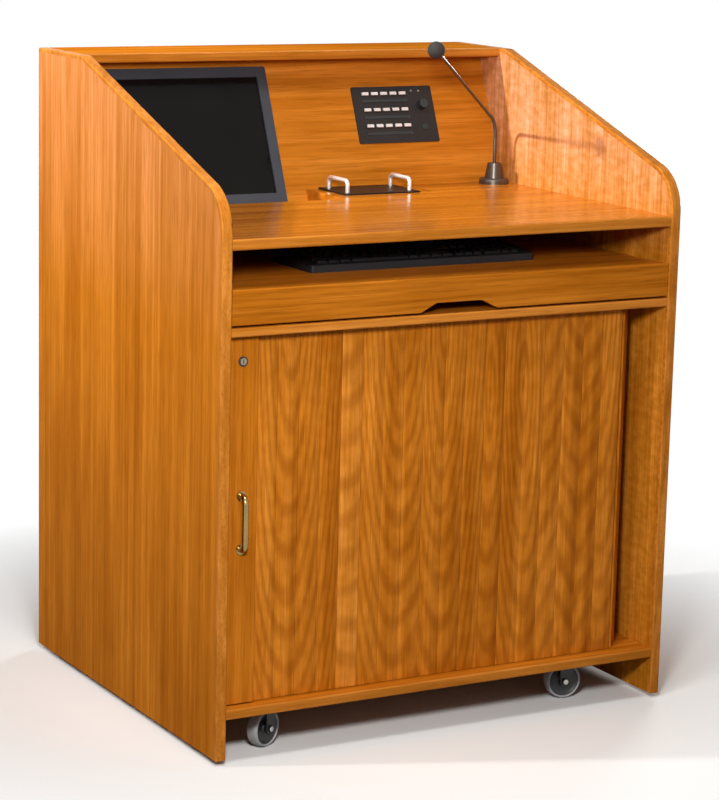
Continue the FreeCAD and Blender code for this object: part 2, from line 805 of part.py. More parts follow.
shaft_end = head_centre - lean * (head_radius - head_socket)
shaft = cylinder(boom_radius, (shaft_end - neck_end).Length, neck_end, lean)
head_bore = cylinder(boom_radius, head_radius, shaft_end - lean * head_radius, lean)
head = Part.makeSphere(head_radius, head_centre).cut(head_bore)
nodes["mic_base"] = flange.fuse(cone).removeSplitter()
nodes["mic_gooseneck"] = neck
nodes["mic_shaft"] = shaft
nodes["mic_head"] = head


# Castors: plate with kingpin and screws, swivelling fork with its axle, wheel

castor_places = {"fl": (-1, castor_front), "fr": (1, castor_front), "bl": (-1, depth - castor_rear),
                 "br": (1, depth - castor_rear)}
plate_low = bottom_under - castor_plate_thickness
crown_high = plate_low - swivel_gap
crown_low = 2 * wheel_radius + wheel_top_gap
leg_in = wheel_width / 2 + wheel_side_gap
leg_out = leg_in + fork_sheet
plates = []


def castor_fork():
    """The fork and its axle bolt about the swivel axis, trailing along +X."""
    eye = V(trail, -leg_out, wheel_radius)
    span = 2 * leg_out
    ALONG_AXLE = V(0, 1, 0)
    crown_disc = cylinder(fork_crown_radius, crown_high - crown_low, V(0, 0, crown_low), UP)
    bridge = Part.makeBox(trail + fork_eye_radius, span, fork_sheet, V(0, -leg_out, crown_low))
    leg_points = [V(0, 0, crown_low + fork_sheet), V(trail + fork_eye_radius, 0, crown_low + fork_sheet),
                  V(trail + fork_eye_radius, 0, wheel_radius), V(trail - fork_eye_radius, 0, wheel_radius),
                  V(0, 0, crown_low), V(0, 0, crown_low + fork_sheet)]
    leg = Part.Face(Part.makePolygon(leg_points)).extrude(ALONG_AXLE * fork_sheet)
    leg = leg.fuse(cylinder(fork_eye_radius, fork_sheet, V(trail, 0, wheel_radius), ALONG_AXLE))
    near = leg.copy()
    near.translate(V(0, -leg_out, 0))
    far = leg.copy()
    far.translate(V(0, leg_in, 0))
    fork = crown_disc.fuse([bridge, near, far]).removeSplitter()
    pin_hole = cylinder(kingpin_radius + kingpin_clearance, crown_high, V(0, 0, crown_low), UP)
    fork = fork.cut(pin_hole).cut(cylinder(axle_radius, span, eye, ALONG_AXLE))
    axle = cylinder(axle_radius, span, eye, ALONG_AXLE)
    for face, way in ((-leg_out, -1), (leg_out, 1)):
        head_foot = V(trail, face, wheel_radius)
        axle = axle.fuse(cylinder(axle_head_radius, axle_head_height, head_foot, ALONG_AXLE * way))
    return Part.makeCompound([fork, axle.removeSplitter()])


def castor_wheel():
    AXLE = V(0, 1, 0)
    tyre = cylinder(wheel_radius, wheel_width, V(trail, -wheel_width / 2, wheel_radius), AXLE)
    rims = [e for e in tyre.Edges if e.BoundBox.YLength < 1e-6]
    tyre = tyre.makeFillet(tyre_round, rims)
    tyre = tyre.cut(cylinder(hub_radius, wheel_width, V(trail, -wheel_width / 2, wheel_radius), AXLE))
    hub_face = V(trail, -hub_width / 2, wheel_radius)
    hub = cylinder(hub_radius, hub_width, hub_face, AXLE)
    hub = hub.cut(cylinder(axle_radius + axle_clearance, hub_width, hub_face, AXLE))
    return Part.makeCompound([tyre, hub])


for corner_name, (side, y) in castor_places.items():
    axis_foot = V(side * (width / 2 - castor_inset_x), front + y, 0)
    turn = FreeCAD.Rotation(UP, trail_directions[corner_name])
    for node, shape in (("castor_fork_", castor_fork()), ("castor_wheel_", castor_wheel())):
        shape.Placement = FreeCAD.Placement(axis_foot, turn)
        nodes[node + corner_name] = shape
    half_plate = castor_plate / 2
    plate = Part.makeBox(castor_plate, castor_plate, castor_plate_thickness,
                         V(axis_foot.x - half_plate, axis_foot.y - half_plate, plate_low))
    pin_low = crown_low - swivel_gap
    pin = cylinder(kingpin_radius, plate_low - pin_low, axis_foot + UP * pin_low, UP)
    pin_head_foot = axis_foot + UP * (pin_low - kingpin_head_height)
    pin_head = cylinder(kingpin_head_radius, kingpin_head_height, pin_head_foot, UP)
    plates.append(plate.fuse([pin, pin_head]).removeSplitter())
    screw_arm = half_plate - plate_screw_inset
    for dx in (-screw_arm, screw_arm):
        for dy in (-screw_arm, screw_arm):
            screw_foot = V(axis_foot.x + dx, axis_foot.y + dy, plate_low - plate_screw_height)
            plates.append(cylinder(plate_screw_radius, plate_screw_height, screw_foot, UP))
nodes["castor_plates"] = Part.makeCompound(plates)


os.makedirs("parts", exist_ok=True)
for name, shape in nodes.items():
    shape.exportStep("parts/" + name + ".step")
print(len(nodes), "nodes written")
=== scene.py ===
import json
import math
import random
import bmesh
import bpy
from mathutils import Matrix, Vector


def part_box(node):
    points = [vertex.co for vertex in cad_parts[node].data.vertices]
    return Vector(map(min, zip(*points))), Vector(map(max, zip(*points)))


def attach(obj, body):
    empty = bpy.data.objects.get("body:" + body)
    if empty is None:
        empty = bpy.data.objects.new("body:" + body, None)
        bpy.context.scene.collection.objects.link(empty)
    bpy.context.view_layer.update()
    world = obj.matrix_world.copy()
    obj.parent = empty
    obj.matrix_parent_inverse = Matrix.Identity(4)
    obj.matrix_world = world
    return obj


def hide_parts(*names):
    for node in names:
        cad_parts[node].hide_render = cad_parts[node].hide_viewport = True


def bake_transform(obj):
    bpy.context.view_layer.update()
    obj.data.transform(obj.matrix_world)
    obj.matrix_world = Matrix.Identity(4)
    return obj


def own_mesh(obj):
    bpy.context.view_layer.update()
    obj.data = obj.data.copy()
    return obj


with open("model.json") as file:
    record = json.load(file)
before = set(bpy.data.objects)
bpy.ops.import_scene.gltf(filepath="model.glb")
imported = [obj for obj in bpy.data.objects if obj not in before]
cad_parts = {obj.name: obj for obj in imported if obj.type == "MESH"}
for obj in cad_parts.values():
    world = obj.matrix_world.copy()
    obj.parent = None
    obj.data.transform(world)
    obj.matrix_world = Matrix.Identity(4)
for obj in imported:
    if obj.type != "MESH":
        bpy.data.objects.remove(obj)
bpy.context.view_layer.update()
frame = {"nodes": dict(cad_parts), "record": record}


# Side panels. Veneered oak boards with the grain upright, under a satin lacquer that has warmed to
# orange. They are glued and screwed to the ends of the boards between them.

def wire(tree, kind, inputs=(), **settings):
    """A new shader node with its settings, and a link or a value at each input that is named."""
    made = tree.nodes.new(kind)
    for setting, value in settings.items():
        setattr(made, setting, value)
    for socket, value in dict(inputs).items():
        if isinstance(value, bpy.types.NodeSocket):
            tree.links.new(value, made.inputs[socket])
        else:
            made.inputs[socket].default_value = value
    return made


def ramp(tree, factor, stops):
    made = wire(tree, "ShaderNodeValToRGB", {"Fac": factor})
    for stop, (place, colour) in zip(made.color_ramp.elements, stops):
        stop.position = place
        stop.color = (*colour, 1.0)
    return made.outputs["Color"]


MIX_FACTOR, MIX_FIRST, MIX_SECOND, MIX_RESULT = 0, 6, 7, 2


def mixed(tree, factor, first, second, blend="MIX"):
    made = wire(tree, "ShaderNodeMix", {MIX_FACTOR: factor, MIX_FIRST: first, MIX_SECOND: second},
                data_type="RGBA", blend_type=blend)
    return made.outputs[MIX_RESULT]


def between(tree, value, ends):
    made = wire(tree, "ShaderNodeMapRange", {"Value": value, "From Min": ends[0], "From Max": ends[1]})
    return made.outputs[0]


def stretched_noise(tree, along, scale, detail):
    place = wire(tree, "ShaderNodeMapping", {"Vector": along, "Scale": scale})
    return wire(tree, "ShaderNodeTexNoise", {"Vector": place.outputs[0], "Scale": 1.0, "Detail": detail})


def new_finish(name):
    finish = bpy.data.materials.new(name)
    finish.use_nodes = True
    return finish, finish.node_tree


OAK_EARLY = (0.330, 0.080, 0.0018)
OAK_LATE = (0.600, 0.188, 0.0110)
DULL = (0.80, 0.74, 0.55)
BRIGHT = (1.10, 1.15, 1.45)
WANDER_SCALE = (4.0, 4.0, 1.1)
WANDER_DETAIL = 2.0
WANDER_REACH = 0.035
NOISE_MIDDLE = (0.5, 0.5, 0.5)
RING_SCALE = 0.314
STREAKS = (((48.0, 48.0, 0.6), 2.0, 0.75), ((130.0, 130.0, 1.4), 3.0, 0.45), ((20.0, 20.0, 3.0), 3.0, 0.75))
RIPPLE_ACROSS = 42.0
RIPPLE_DETAIL = 1.0
PORE_SCALE = (520.0, 520.0, 14.0)
PORE_DETAIL = 2.0
PORE_SHARE = 0.34
PORE_SHADE = 0.50


def oak_grain(tree, along, pith, tilt, ring_gap, figure, flecks, tint, trunk_place=None, ripple=78.0):
    """Oak cut from a trunk: rings about a pith line beside the board, pores and rays along the grain."""
    wander = stretched_noise(tree, along, WANDER_SCALE, WANDER_DETAIL)
    pull = wire(tree, "ShaderNodeVectorMath", {0: wander.outputs["Color"], 1: NOISE_MIDDLE},
                operation="SUBTRACT")
    pulled = wire(tree, "ShaderNodeVectorMath", {0: pull.outputs[0], "Scale": WANDER_REACH},
                  operation="SCALE")
    trunk = wire(tree, "ShaderNodeMapping",
                 {"Vector": trunk_place or along, "Location": pith, "Rotation": tilt})
    bent = wire(tree, "ShaderNodeVectorMath", {0: trunk.outputs[0], 1: pulled.outputs[0]}, operation="ADD")
    rings = wire(tree, "ShaderNodeTexWave",
                 {"Vector": bent.outputs[0], "Scale": RING_SCALE / ring_gap, "Distortion": 1.6, "Detail": 2.0,
                  "Detail Scale": 0.5, "Detail Roughness": 0.6},
                 wave_type="RINGS", rings_direction="Z", wave_profile="SIN")
    early = tuple(part * share for part, share in zip(OAK_EARLY, tint))
    late = tuple(part * share for part, share in zip(OAK_LATE, tint))
    dark = tuple(a + (1.0 - figure) * (b - a) for a, b in zip(early, late))
    wood = ramp(tree, rings.outputs["Fac"], [(0.05, dark), (0.70, late)])
    rays = ((RIPPLE_ACROSS, RIPPLE_ACROSS, ripple), RIPPLE_DETAIL, flecks)
    for scale, detail, share in (*STREAKS, rays):
        noise = stretched_noise(tree, along, scale, detail)
        shade = ramp(tree, noise.outputs["Fac"], [(0.35, DULL), (0.65, BRIGHT)])
        wood = mixed(tree, share, wood, shade, "MULTIPLY")
    pore_noise = stretched_noise(tree, along, PORE_SCALE, PORE_DETAIL)
    pores = ramp(tree, pore_noise.outputs["Fac"], [(0.50, (0, 0, 0)), (0.68, (1, 1, 1))])
    pore_strength = wire(tree, "ShaderNodeMath", {0: pores, 1: PORE_SHARE}, operation="MULTIPLY")
    wood = mixed(tree, pore_strength.outputs[0], wood, (*[PORE_SHADE * part for part in early], 1.0))
    return wood, pores, rings.outputs["Fac"]


PORE_ROUGHER = 0.16
RING_RELIEF = 0.35
FLAT_RELIEF = 0.5


def lacquer(tree, wood, pores, rings, gloss, shine):
    shader = tree.nodes["Principled BSDF"]
    tree.links.new(wood, shader.inputs["Base Color"])
    rough = ramp(tree, pores, [(0.0, (gloss,) * 3), (1.0, (gloss + PORE_ROUGHER,) * 3)])
    tree.links.new(rough, shader.inputs["Roughness"])
    relief = wire(tree, "ShaderNodeMath", {0: rings, 1: RING_RELIEF, 2: FLAT_RELIEF},
                  operation="MULTIPLY_ADD")
    relief = wire(tree, "ShaderNodeMath", {0: relief.outputs[0], 1: pores}, operation="SUBTRACT")
    bump = wire(tree, "ShaderNodeBump", {"Height": relief.outputs[0], "Strength": 0.08, "Distance": 0.0005})
    tree.links.new(bump.outputs[0], shader.inputs["Normal"])
    shader.inputs["Specular IOR Level"].default_value = shine


GRAIN_TURN = {"X": (0.0, math.pi / 2, 0.0), "Z": (0.0, 0.0, 0.0)}


def oak(name, grain, pith, tilt=(0.0, 0.0, 0.0), ring_gap=0.012, figure=0.25, flecks=0.0,
        tint=(1.0, 1.0, 1.0), gloss=0.30, shine=0.02, painted_sheen_heights=None, painted_sheen_tint=(1.0, 1.0, 1.0), inner=None):
    """Lacquered oak. Where two heights are given for the painted sheen, its colour goes to the sheen tint
    between
    them: a painted highlight for the washed-out top of a lit board; where two places across are given as
    inner, only on the face at the second of them."""
    finish, tree = new_finish(name)
    place = wire(tree, "ShaderNodeTexCoord").outputs["Object"]
    along = wire(tree, "ShaderNodeMapping", {"Vector": place, "Rotation": GRAIN_TURN[grain]})
    wood, pores, rings = oak_grain(tree, along.outputs[0], pith, tilt, ring_gap, figure, flecks, tint)
    # Painted sheen: between the two heights the wood colour is multiplied towards the paler, bluer sheen
    # tint. It stands in for the highlight where a lamp lights the top of the board.
    if painted_sheen_heights:
        parts = wire(tree, "ShaderNodeSeparateXYZ", {0: place})
        share = between(tree, parts.outputs["Z"], painted_sheen_heights)
        if inner:
            inward = between(tree, parts.outputs["X"], inner)
            share = wire(tree, "ShaderNodeMath", {0: share, 1: inward}, operation="MULTIPLY").outputs[0]
        wood = mixed(tree, share, wood, (*painted_sheen_tint, 1.0), "MULTIPLY")
    lacquer(tree, wood, pores, rings, gloss, shine)
    return finish


def paint(finish, *names):
    for name in names:
        mesh = frame["nodes"][name].data
        mesh.materials.clear()
        mesh.materials.append(finish)


# Both side panels pale towards the top. This is painted sheen for the highlight where the key lamp lights
# them: over the whole left panel, and only on the right panel's inner face.
paint(oak("side_oak_left", "Z", pith=(0.10, 2.0, 0.0), tilt=(0.006, 0.0, 0.0), ring_gap=0.013, figure=0.10,
          shine=0.003, painted_sheen_heights=(0.75, 1.20), painted_sheen_tint=(1.09, 1.28, 5.8)), "side_panel_left")
paint(oak("side_oak_right", "Z", pith=(0.35, -1.6, 0.0), tilt=(0.010, 0.0, 0.0), ring_gap=0.013, figure=0.16,
          flecks=0.60, tint=(1.12, 1.27, 1.5), shine=0.006, painted_sheen_heights=(0.85, 1.05), painted_sheen_tint=(1.07, 1.34, 6.8),
          inner=(0.472, 0.458)), "side_panel_right")


# Lippings. Solid oak strips glued round the edges of the veneered boards, their corners rounded
# over by a router. The grain runs along each strip: up the side panels, and across on the boards.

UPRIGHT_LEAN = (0.3, 0.0, 0.0)
SIDE_SEAM = 0.0005
VECTOR_FIRST, VECTOR_SECOND, VECTOR_RESULT = 4, 5, 1


def lipping_oak(inside):
    finish, tree = new_finish("lipping_oak")
    place = wire(tree, "ShaderNodeTexCoord").outputs["Object"]
    parts = wire(tree, "ShaderNodeSeparateXYZ", {0: place})
    off_centre = wire(tree, "ShaderNodeMath", {0: parts.outputs["X"]}, operation="ABSOLUTE")
    on_side = wire(tree, "ShaderNodeMath", {0: off_centre.outputs[0], 1: inside}, operation="GREATER_THAN")
    across = wire(tree, "ShaderNodeMapping", {"Vector": place, "Rotation": GRAIN_TURN["X"]})
    upright = wire(tree, "ShaderNodeMapping", {"Vector": place, "Rotation": UPRIGHT_LEAN})
    along = wire(tree, "ShaderNodeMix", {MIX_FACTOR: on_side.outputs[0], VECTOR_FIRST: across.outputs[0],
                                         VECTOR_SECOND: upright.outputs[0]}, data_type="VECTOR")
    grain = oak_grain(tree, along.outputs[VECTOR_RESULT], pith=(0.0, 0.6, 0.3), tilt=(0.0, 0.0, 0.0),
                      ring_gap=0.012, figure=0.20, flecks=0.0, tint=(0.96, 1.06, 2.0))
    lacquer(tree, *grain, gloss=0.26, shine=0.02)
    return finish


paint(lipping_oak(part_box("desk_top")[1].x + SIDE_SEAM), "oak_lippings")


# Boards. The cap, desk, shelf and bottom are veneered boards with the grain across the lectern,
# held between the sides; the desk is the glossiest, because hands and papers polish it.

paint(oak("cap_oak", "X", pith=(0.2, 0.9, 1.7), figure=0.2, shine=0.0), "top_cap")
paint(oak("desk_oak", "X", pith=(0.4, 0.3, 1.15), tilt=(0.0, 0.012, 0.02), figure=0.20, gloss=0.15,
          shine=0.26), "desk_top", "monitor_well")
paint(oak("shelf_oak", "X", pith=(0.1, 0.5, 1.4)), "mid_shelf", "bottom_board")


# Instrument panel, back and pocket liner. Flat-cut veneer with arched figure on the panel that faces
# the user, and a plain back towards the audience; all are glued and screwed between the boards.

paint(oak("panel_oak", "X", pith=(0.06, -0.22, 1.0), tilt=(0.0, 0.05, 0.03), ring_gap=0.016, figure=0.16,
          tint=(1.00, 1.07, 1.5)), "instrument_panel")
paint(oak("back_oak", "Z", pith=(0.3, 0.9, 0.0), tilt=(0.02, 0.01, 0.0), ring_gap=0.014),
      "back_panel", "pocket_liner")


# Monitor. A flat screen let into the panel: a dark moulded bezel clamped over the cut-out, black
# glass behind it, and a sheet steel housing held by ears on the panel's back.

DRIFT_SCALE = 9.0
DRIFT_DARK = 0.85
DRIFT_PALE = 1.12
RUBBED = 0.06
ROUGHER = 0.08
PEBBLE_RISE = 0.4


def moulded(name, colour, grain, rough, relief=0.15, metal=0.0, specular=0.5):
    """A moulded or painted skin: colour drifting a little, with a fine pebbled surface."""
    finish, tree = new_finish(name)
    shader = tree.nodes["Principled BSDF"]
    place = wire(tree, "ShaderNodeTexCoord").outputs["Object"]
    pebble = wire(tree, "ShaderNodeTexNoise", {"Vector": place, "Scale": 1.0 / grain, "Detail": 3.0})
    drift = wire(tree, "ShaderNodeTexNoise", {"Vector": place, "Scale": DRIFT_SCALE, "Detail": 3.0})
    shade = ramp(tree, drift.outputs["Fac"], [(0.3, tuple(DRIFT_DARK * c for c in colour)),
                                              (0.7, tuple(min(1.0, DRIFT_PALE * c) for c in colour))])
    tree.links.new(shade, shader.inputs["Base Color"])
    worn = ramp(tree, pebble.outputs["Fac"], [(0.3, (rough - RUBBED,) * 3), (0.7, (rough + ROUGHER,) * 3)])
    tree.links.new(worn, shader.inputs["Roughness"])
    bump = wire(tree, "ShaderNodeBump",
                {"Height": pebble.outputs["Fac"], "Strength": relief, "Distance": PEBBLE_RISE * grain})
    tree.links.new(bump.outputs[0], shader.inputs["Normal"])
    shader.inputs["Metallic"].default_value = metal
    shader.inputs["Specular IOR Level"].default_value = specular
    return finish


paint(moulded("bezel_plastic", (0.046, 0.050, 0.062), grain=0.0012, rough=0.42, specular=0.25),
      "monitor_bezel")
paint(moulded("screen_glass", (0.006, 0.005, 0.005), grain=0.02, rough=0.12, relief=0.0, specular=0.10),
      "monitor_screen")
paint(moulded("housing_steel", (0.05, 0.05, 0.055), grain=0.0015, rough=0.5), "monitor_housing")


# Control panel. A grey-black painted face plate over a steel box, with rows of pale push buttons and
# a turned black volume knob.

BUTTON_ROWS = (1, 2, 3)
BUTTON_COLUMNS = (1, 2, 3, 4, 5)
paint(moulded("plate_paint", (0.020, 0.016, 0.015), grain=0.0009, rough=0.48, specular=0.25),
      "control_plate", "control_box")
paint(moulded("knob_plastic", (0.020, 0.020, 0.022), grain=0.0008, rough=0.30), "volume_knob")
button_finish = moulded("button_plastic", (0.72, 0.69, 0.68), grain=0.0010, rough=0.45)
for row in BUTTON_ROWS:
    for column in BUTTON_COLUMNS:
        paint(button_finish, "button_%d_%d" % (row, column))


# Label strips under the button rows. Thin smoked plastic windows with rounded corners and a raised
# rim, pressed into the face plate.

ALIGNED = 0.9


def start_piece():
    bpy.ops.object.select_all(action="DESELECT")


def new_piece(name):
    """The piece that was just added, under its name."""
    made = bpy.context.object
    made.name = name
    made.data.name = name
    return made


def pick(kind, test):
    """Selects the faces, edges or verts of the piece in edit mode that pass the test, and nothing else."""
    bpy.ops.mesh.select_mode(type={"faces": "FACE", "edges": "EDGE", "verts": "VERT"}[kind])
    bpy.ops.mesh.select_all(action="DESELECT")
    shape = bmesh.from_edit_mesh(bpy.context.object.data)
    for element in getattr(shape, kind):
        if test(element):
            element.select_set(True)
    shape.select_flush_mode()
    bmesh.update_edit_mesh(bpy.context.object.data)


def run(edge):
    return (edge.verts[1].co - edge.verts[0].co).normalized()


def stands(edge):
    return abs(run(edge).z) > ALIGNED


def faces_up(face):
    return face.normal.z > ALIGNED


def block(name, size):
    """A block centred on the origin, open in edit mode for shaping."""
    start_piece()
    bpy.ops.mesh.primitive_cube_add(size=1.0)
    made = new_piece(name)
    made.scale = size
    bpy.ops.object.transform_apply(location=False, rotation=False, scale=True)
    bpy.ops.object.mode_set(mode="EDIT")
    return made


def copy_of(piece, name, matrix):
    made = bpy.data.objects.new(name, piece.data.copy())
    made.data.name = name
    bpy.context.collection.objects.link(made)
    made.data.transform(matrix)
    return made


def joined(name, pieces):
    start_piece()
    for piece in pieces:
        piece.select_set(True)
    bpy.context.view_layer.objects.active = pieces[0]
    bpy.ops.object.join()
    return new_piece(name)


def smooth(piece, degrees=30.0):
    start_piece()
    piece.select_set(True)
    bpy.context.view_layer.objects.active = piece
    bpy.ops.object.shade_smooth_by_angle(angle=math.radians(degrees))


SLOPE_TILT = math.radians(23.3)
SLOPE_FOOT = (0.0, 0.190, 0.933)
PLATE_FACE = 0.003
STRIP_SIZE = (0.104, 0.0075, 0.0009)
STRIP_ROUND = 0.0016
STRIP_RIM = 0.0007
STRIP_SUNK = 0.0004
STRIP_SEAT = 0.0002
STRIP_DROP = 0.0148
slope_frame = Matrix((
    (1.0, 0.0, 0.0, SLOPE_FOOT[0]),
    (0.0, math.sin(SLOPE_TILT), -math.cos(SLOPE_TILT), SLOPE_FOOT[1]),
    (0.0, math.cos(SLOPE_TILT), math.sin(SLOPE_TILT), SLOPE_FOOT[2]),
    (0.0, 0.0, 0.0, 1.0)))
strip = block("label_strip", STRIP_SIZE)
pick("edges", stands)
bpy.ops.mesh.bevel(offset=STRIP_ROUND, segments=4, affect="EDGES")
pick("faces", faces_up)
bpy.ops.mesh.inset(thickness=STRIP_RIM)
bpy.ops.transform.translate(value=(0.0, 0.0, -STRIP_SUNK))
bpy.ops.object.mode_set(mode="OBJECT")
strip_finish = moulded("strip_smoked", (0.012, 0.014, 0.013), grain=0.0012, rough=0.22)
strip.data.materials.append(strip_finish)
strip_rows = []
for row in BUTTON_ROWS:
    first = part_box("button_%d_1" % row)
    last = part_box("button_%d_5" % row)
    centre = slope_frame.inverted() @ ((first[0] + last[1]) / 2)
    place = Matrix.Translation((centre.x, centre.y - STRIP_DROP, PLATE_FACE + STRIP_SIZE[2] / 2 - STRIP_SEAT))
    strip_rows.append(copy_of(strip, "label_strip_%d" % row, slope_frame @ place))
bpy.data.objects.remove(strip)
label_strips = joined("label_strips", strip_rows)
smooth(label_strips)
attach(label_strips, "cabinet")


# Lamps and sensor window on the control panel. Two small moulded lenses and a round dark window
# with a raised ring, pushed through the face plate from behind.

def close_shell():
    bpy.ops.mesh.select_all(action="SELECT")
    bpy.ops.mesh.fill_holes(sides=0)
    bpy.ops.mesh.normals_make_consistent(inside=False)
    bpy.ops.object.mode_set(mode="OBJECT")


def turned(name, profile, sides):
    """A turned piece about +Z: a disc is extruded and scaled through (radius, height) stations."""
    start_piece()
    radius, height = profile[0]
    bpy.ops.mesh.primitive_circle_add(vertices=sides, radius=radius, fill_type="NGON",
                                      location=(0.0, 0.0, height))
    made = new_piece(name)
    bpy.ops.object.transform_apply(location=True, rotation=False, scale=False)
    bpy.ops.object.mode_set(mode="EDIT")
    bpy.ops.mesh.select_all(action="SELECT")
    for next_radius, next_height in profile[1:]:
        bpy.ops.mesh.extrude_region_move(TRANSFORM_OT_translate={"value": (0.0, 0.0, next_height - height)})
        share = next_radius / radius
        bpy.ops.transform.resize(value=(share, share, 1.0), center_override=(0.0, 0.0, next_height))
        radius, height = next_radius, next_height
    close_shell()
    return made


LAMP_PLACES = ((0.2764, 0.1949), (0.2934, 0.1946))
LENS_PROFILE = [(0.0024, -0.0006), (0.0024, 0.0004), (0.0020, 0.0012), (0.0011, 0.0017), (0.0003, 0.0019)]
WINDOW_PLACE = (0.2963, 0.1194)
WINDOW_PROFILE = [(0.0078, -0.0006), (0.0078, 0.0008), (0.0072, 0.0013), (0.0060, 0.0013), (0.0055, 0.0006),
                  (0.0030, 0.0009), (0.0010, 0.0010)]
lens = turned("lamp_lens", LENS_PROFILE, sides=20)
lens.data.materials.append(moulded("lens_plastic", (0.20, 0.19, 0.18), grain=0.0010, rough=0.18))
lamps = joined("panel_lamps", [
    copy_of(lens, "panel_lamp_%d" % i, slope_frame @ Matrix.Translation((x, up_slope, PLATE_FACE)))
    for i, (x, up_slope) in enumerate(LAMP_PLACES)])
bpy.data.objects.remove(lens)
smooth(lamps, 40.0)
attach(lamps, "cabinet")

window = turned("sensor_window", WINDOW_PROFILE, sides=36)
window.data.materials.append(strip_finish)
window.data.transform(slope_frame @ Matrix.Translation((*WINDOW_PLACE, PLATE_FACE)))
smooth(window)
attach(window, "cabinet")


# Access cover. A black plate with a skirt that drops into the cut-out in the desk, lifted by two
# bent satin-chromed rod handles that are screwed on from below.

paint(moulded("cover_paint", (0.009, 0.008, 0.008), grain=0.0010, rough=0.40, specular=0.2), "access_plate")
paint(moulded("satin_chrome", (0.88, 0.85, 0.82), grain=0.004, rough=0.30, relief=0.02, metal=0.55),
      "access_handles")


# Microphone base and tube. A turned base with a flange screwed to the desk, and a thin drawn tube,
# both in a dark bronze-grey finish.

mic_finish = moulded("mic_paint", (0.105, 0.088, 0.072), grain=0.0008, rough=0.30, metal=0.6)
paint(mic_finish, "mic_base", "mic_shaft")


# Gooseneck. A wound steel hose that holds its bend, pressed into the base and the tube; its turns show as
# close ribs. The real hose flexes where the microphone is set; here it is swept along one fixed bend.

NECK_FOOT = Vector((0.412, 0.154, 0.975))
NECK_CORNER = Vector((0.412, 0.154, 1.057))
HEAD_REACH = Vector((-0.280, -0.226, 0.164))
NECK_LEAN = HEAD_REACH.normalized()
NECK_UP = Vector((0.0, 0.0, 1.0))
NECK_BEND = 0.045
NECK_TAIL = 0.020
NECK_SIDES = 16
LINE_STEPS = 32
FOOT_PULL = 0.010
TAIL_PULL = 0.006
RIB_PITCH = 0.0022
RIB_HIGH = 0.0036
RIB_LOW = 0.0031
RIB_CUTS = 3
RIB_GROOVE = 0.2
WELD = 0.00001
half_turn = NECK_LEAN.angle(NECK_UP) / 2
reach = NECK_BEND * math.tan(half_turn)
bend_start = NECK_CORNER - NECK_UP * reach
bend_end = NECK_CORNER + NECK_LEAN * reach
neck_end = bend_end + NECK_LEAN * NECK_TAIL
neck_length = (bend_start - NECK_FOOT).length + NECK_BEND * 2 * half_turn + NECK_TAIL
arc_pull = NECK_BEND * 4 / 3 * math.tan(half_turn / 2)
start_piece()
bpy.ops.curve.primitive_bezier_curve_add()
neck_line = bpy.context.object
neck_points = neck_line.data.splines[0].bezier_points
neck_points.add(2)
neck_line.data.resolution_u = LINE_STEPS
line_stations = ((NECK_FOOT, NECK_UP, FOOT_PULL, FOOT_PULL), (bend_start, NECK_UP, FOOT_PULL, arc_pull),
                 (bend_end, NECK_LEAN, arc_pull, TAIL_PULL), (neck_end, NECK_LEAN, TAIL_PULL, TAIL_PULL))
for point, (place, way, before, after) in zip(neck_points, line_stations):
    point.handle_left_type = "FREE"
    point.handle_right_type = "FREE"
    point.co = place
    point.handle_left = place - way * before
    point.handle_right = place + way * after
start_piece()
bpy.ops.mesh.primitive_cylinder_add(vertices=NECK_SIDES, radius=RIB_LOW, depth=RIB_PITCH,
                                    end_fill_type="NOTHING", location=(0.0, 0.0, RIB_PITCH / 2))
neck = new_piece("gooseneck")
bpy.ops.object.transform_apply(location=True, rotation=False, scale=False)
bpy.ops.object.mode_set(mode="EDIT")
pick("edges", stands)
bpy.ops.mesh.subdivide(number_cuts=RIB_CUTS)
swell = RIB_HIGH / RIB_LOW
pick("verts", lambda v: RIB_GROOVE * RIB_PITCH < v.co.z < (1.0 - RIB_GROOVE) * RIB_PITCH)
bpy.ops.transform.resize(value=(swell, swell, 1.0), center_override=(0.0, 0.0, RIB_PITCH / 2))
bpy.ops.object.mode_set(mode="OBJECT")
turns = neck.modifiers.new("turns", "ARRAY")
turns.use_relative_offset = False
turns.use_constant_offset = True
turns.constant_offset_displace = (0.0, 0.0, RIB_PITCH)
turns.count = int(neck_length / RIB_PITCH)
turns.use_merge_vertices = True
turns.merge_threshold = WELD
bpy.ops.object.modifier_apply(modifier="turns")
bow = neck.modifiers.new("bow", "CURVE")
bow.object = neck_line
bow.deform_axis = "POS_Z"
bpy.ops.object.modifier_apply(modifier="bow")
bpy.data.objects.remove(neck_line)
bpy.ops.object.mode_set(mode="EDIT")
close_shell()
smooth(neck, 50.0)
neck.data.materials.append(mic_finish)
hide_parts("mic_gooseneck")
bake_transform(neck)


# Foam windscreen. A ball of open-cell foam with a short collar, moulded in one and pushed over the
# microphone capsule; its skin is rough with cut cells.

HEAD_RADIUS = 0.0166
COLLAR_REACH = 0.0030
COLLAR_EDGE = 0.90
CELL_SIZE = 0.0016
CELL_DEPTH = 0.0009
CELL_LEVEL = 0.6
head_centre = NECK_CORNER + HEAD_REACH
start_piece()
bpy.ops.mesh.primitive_ico_sphere_add(subdivisions=5, radius=HEAD_RADIUS)
foam = new_piece("foam_windscreen")
bpy.ops.object.mode_set(mode="EDIT")
pick("verts", lambda v: v.co.normalized().dot(-NECK_LEAN) > COLLAR_EDGE)
bpy.ops.transform.translate(value=-NECK_LEAN * COLLAR_REACH)
bpy.ops.mesh.select_all(action="SELECT")
bpy.ops.mesh.vertices_smooth(factor=0.5, repeat=3)
bpy.ops.object.mode_set(mode="OBJECT")
cells = bpy.data.textures.new("foam_cells", "CLOUDS")
cells.noise_scale = CELL_SIZE
cells.noise_depth = 1
rough_skin = foam.modifiers.new("cells", "DISPLACE")
rough_skin.texture = cells
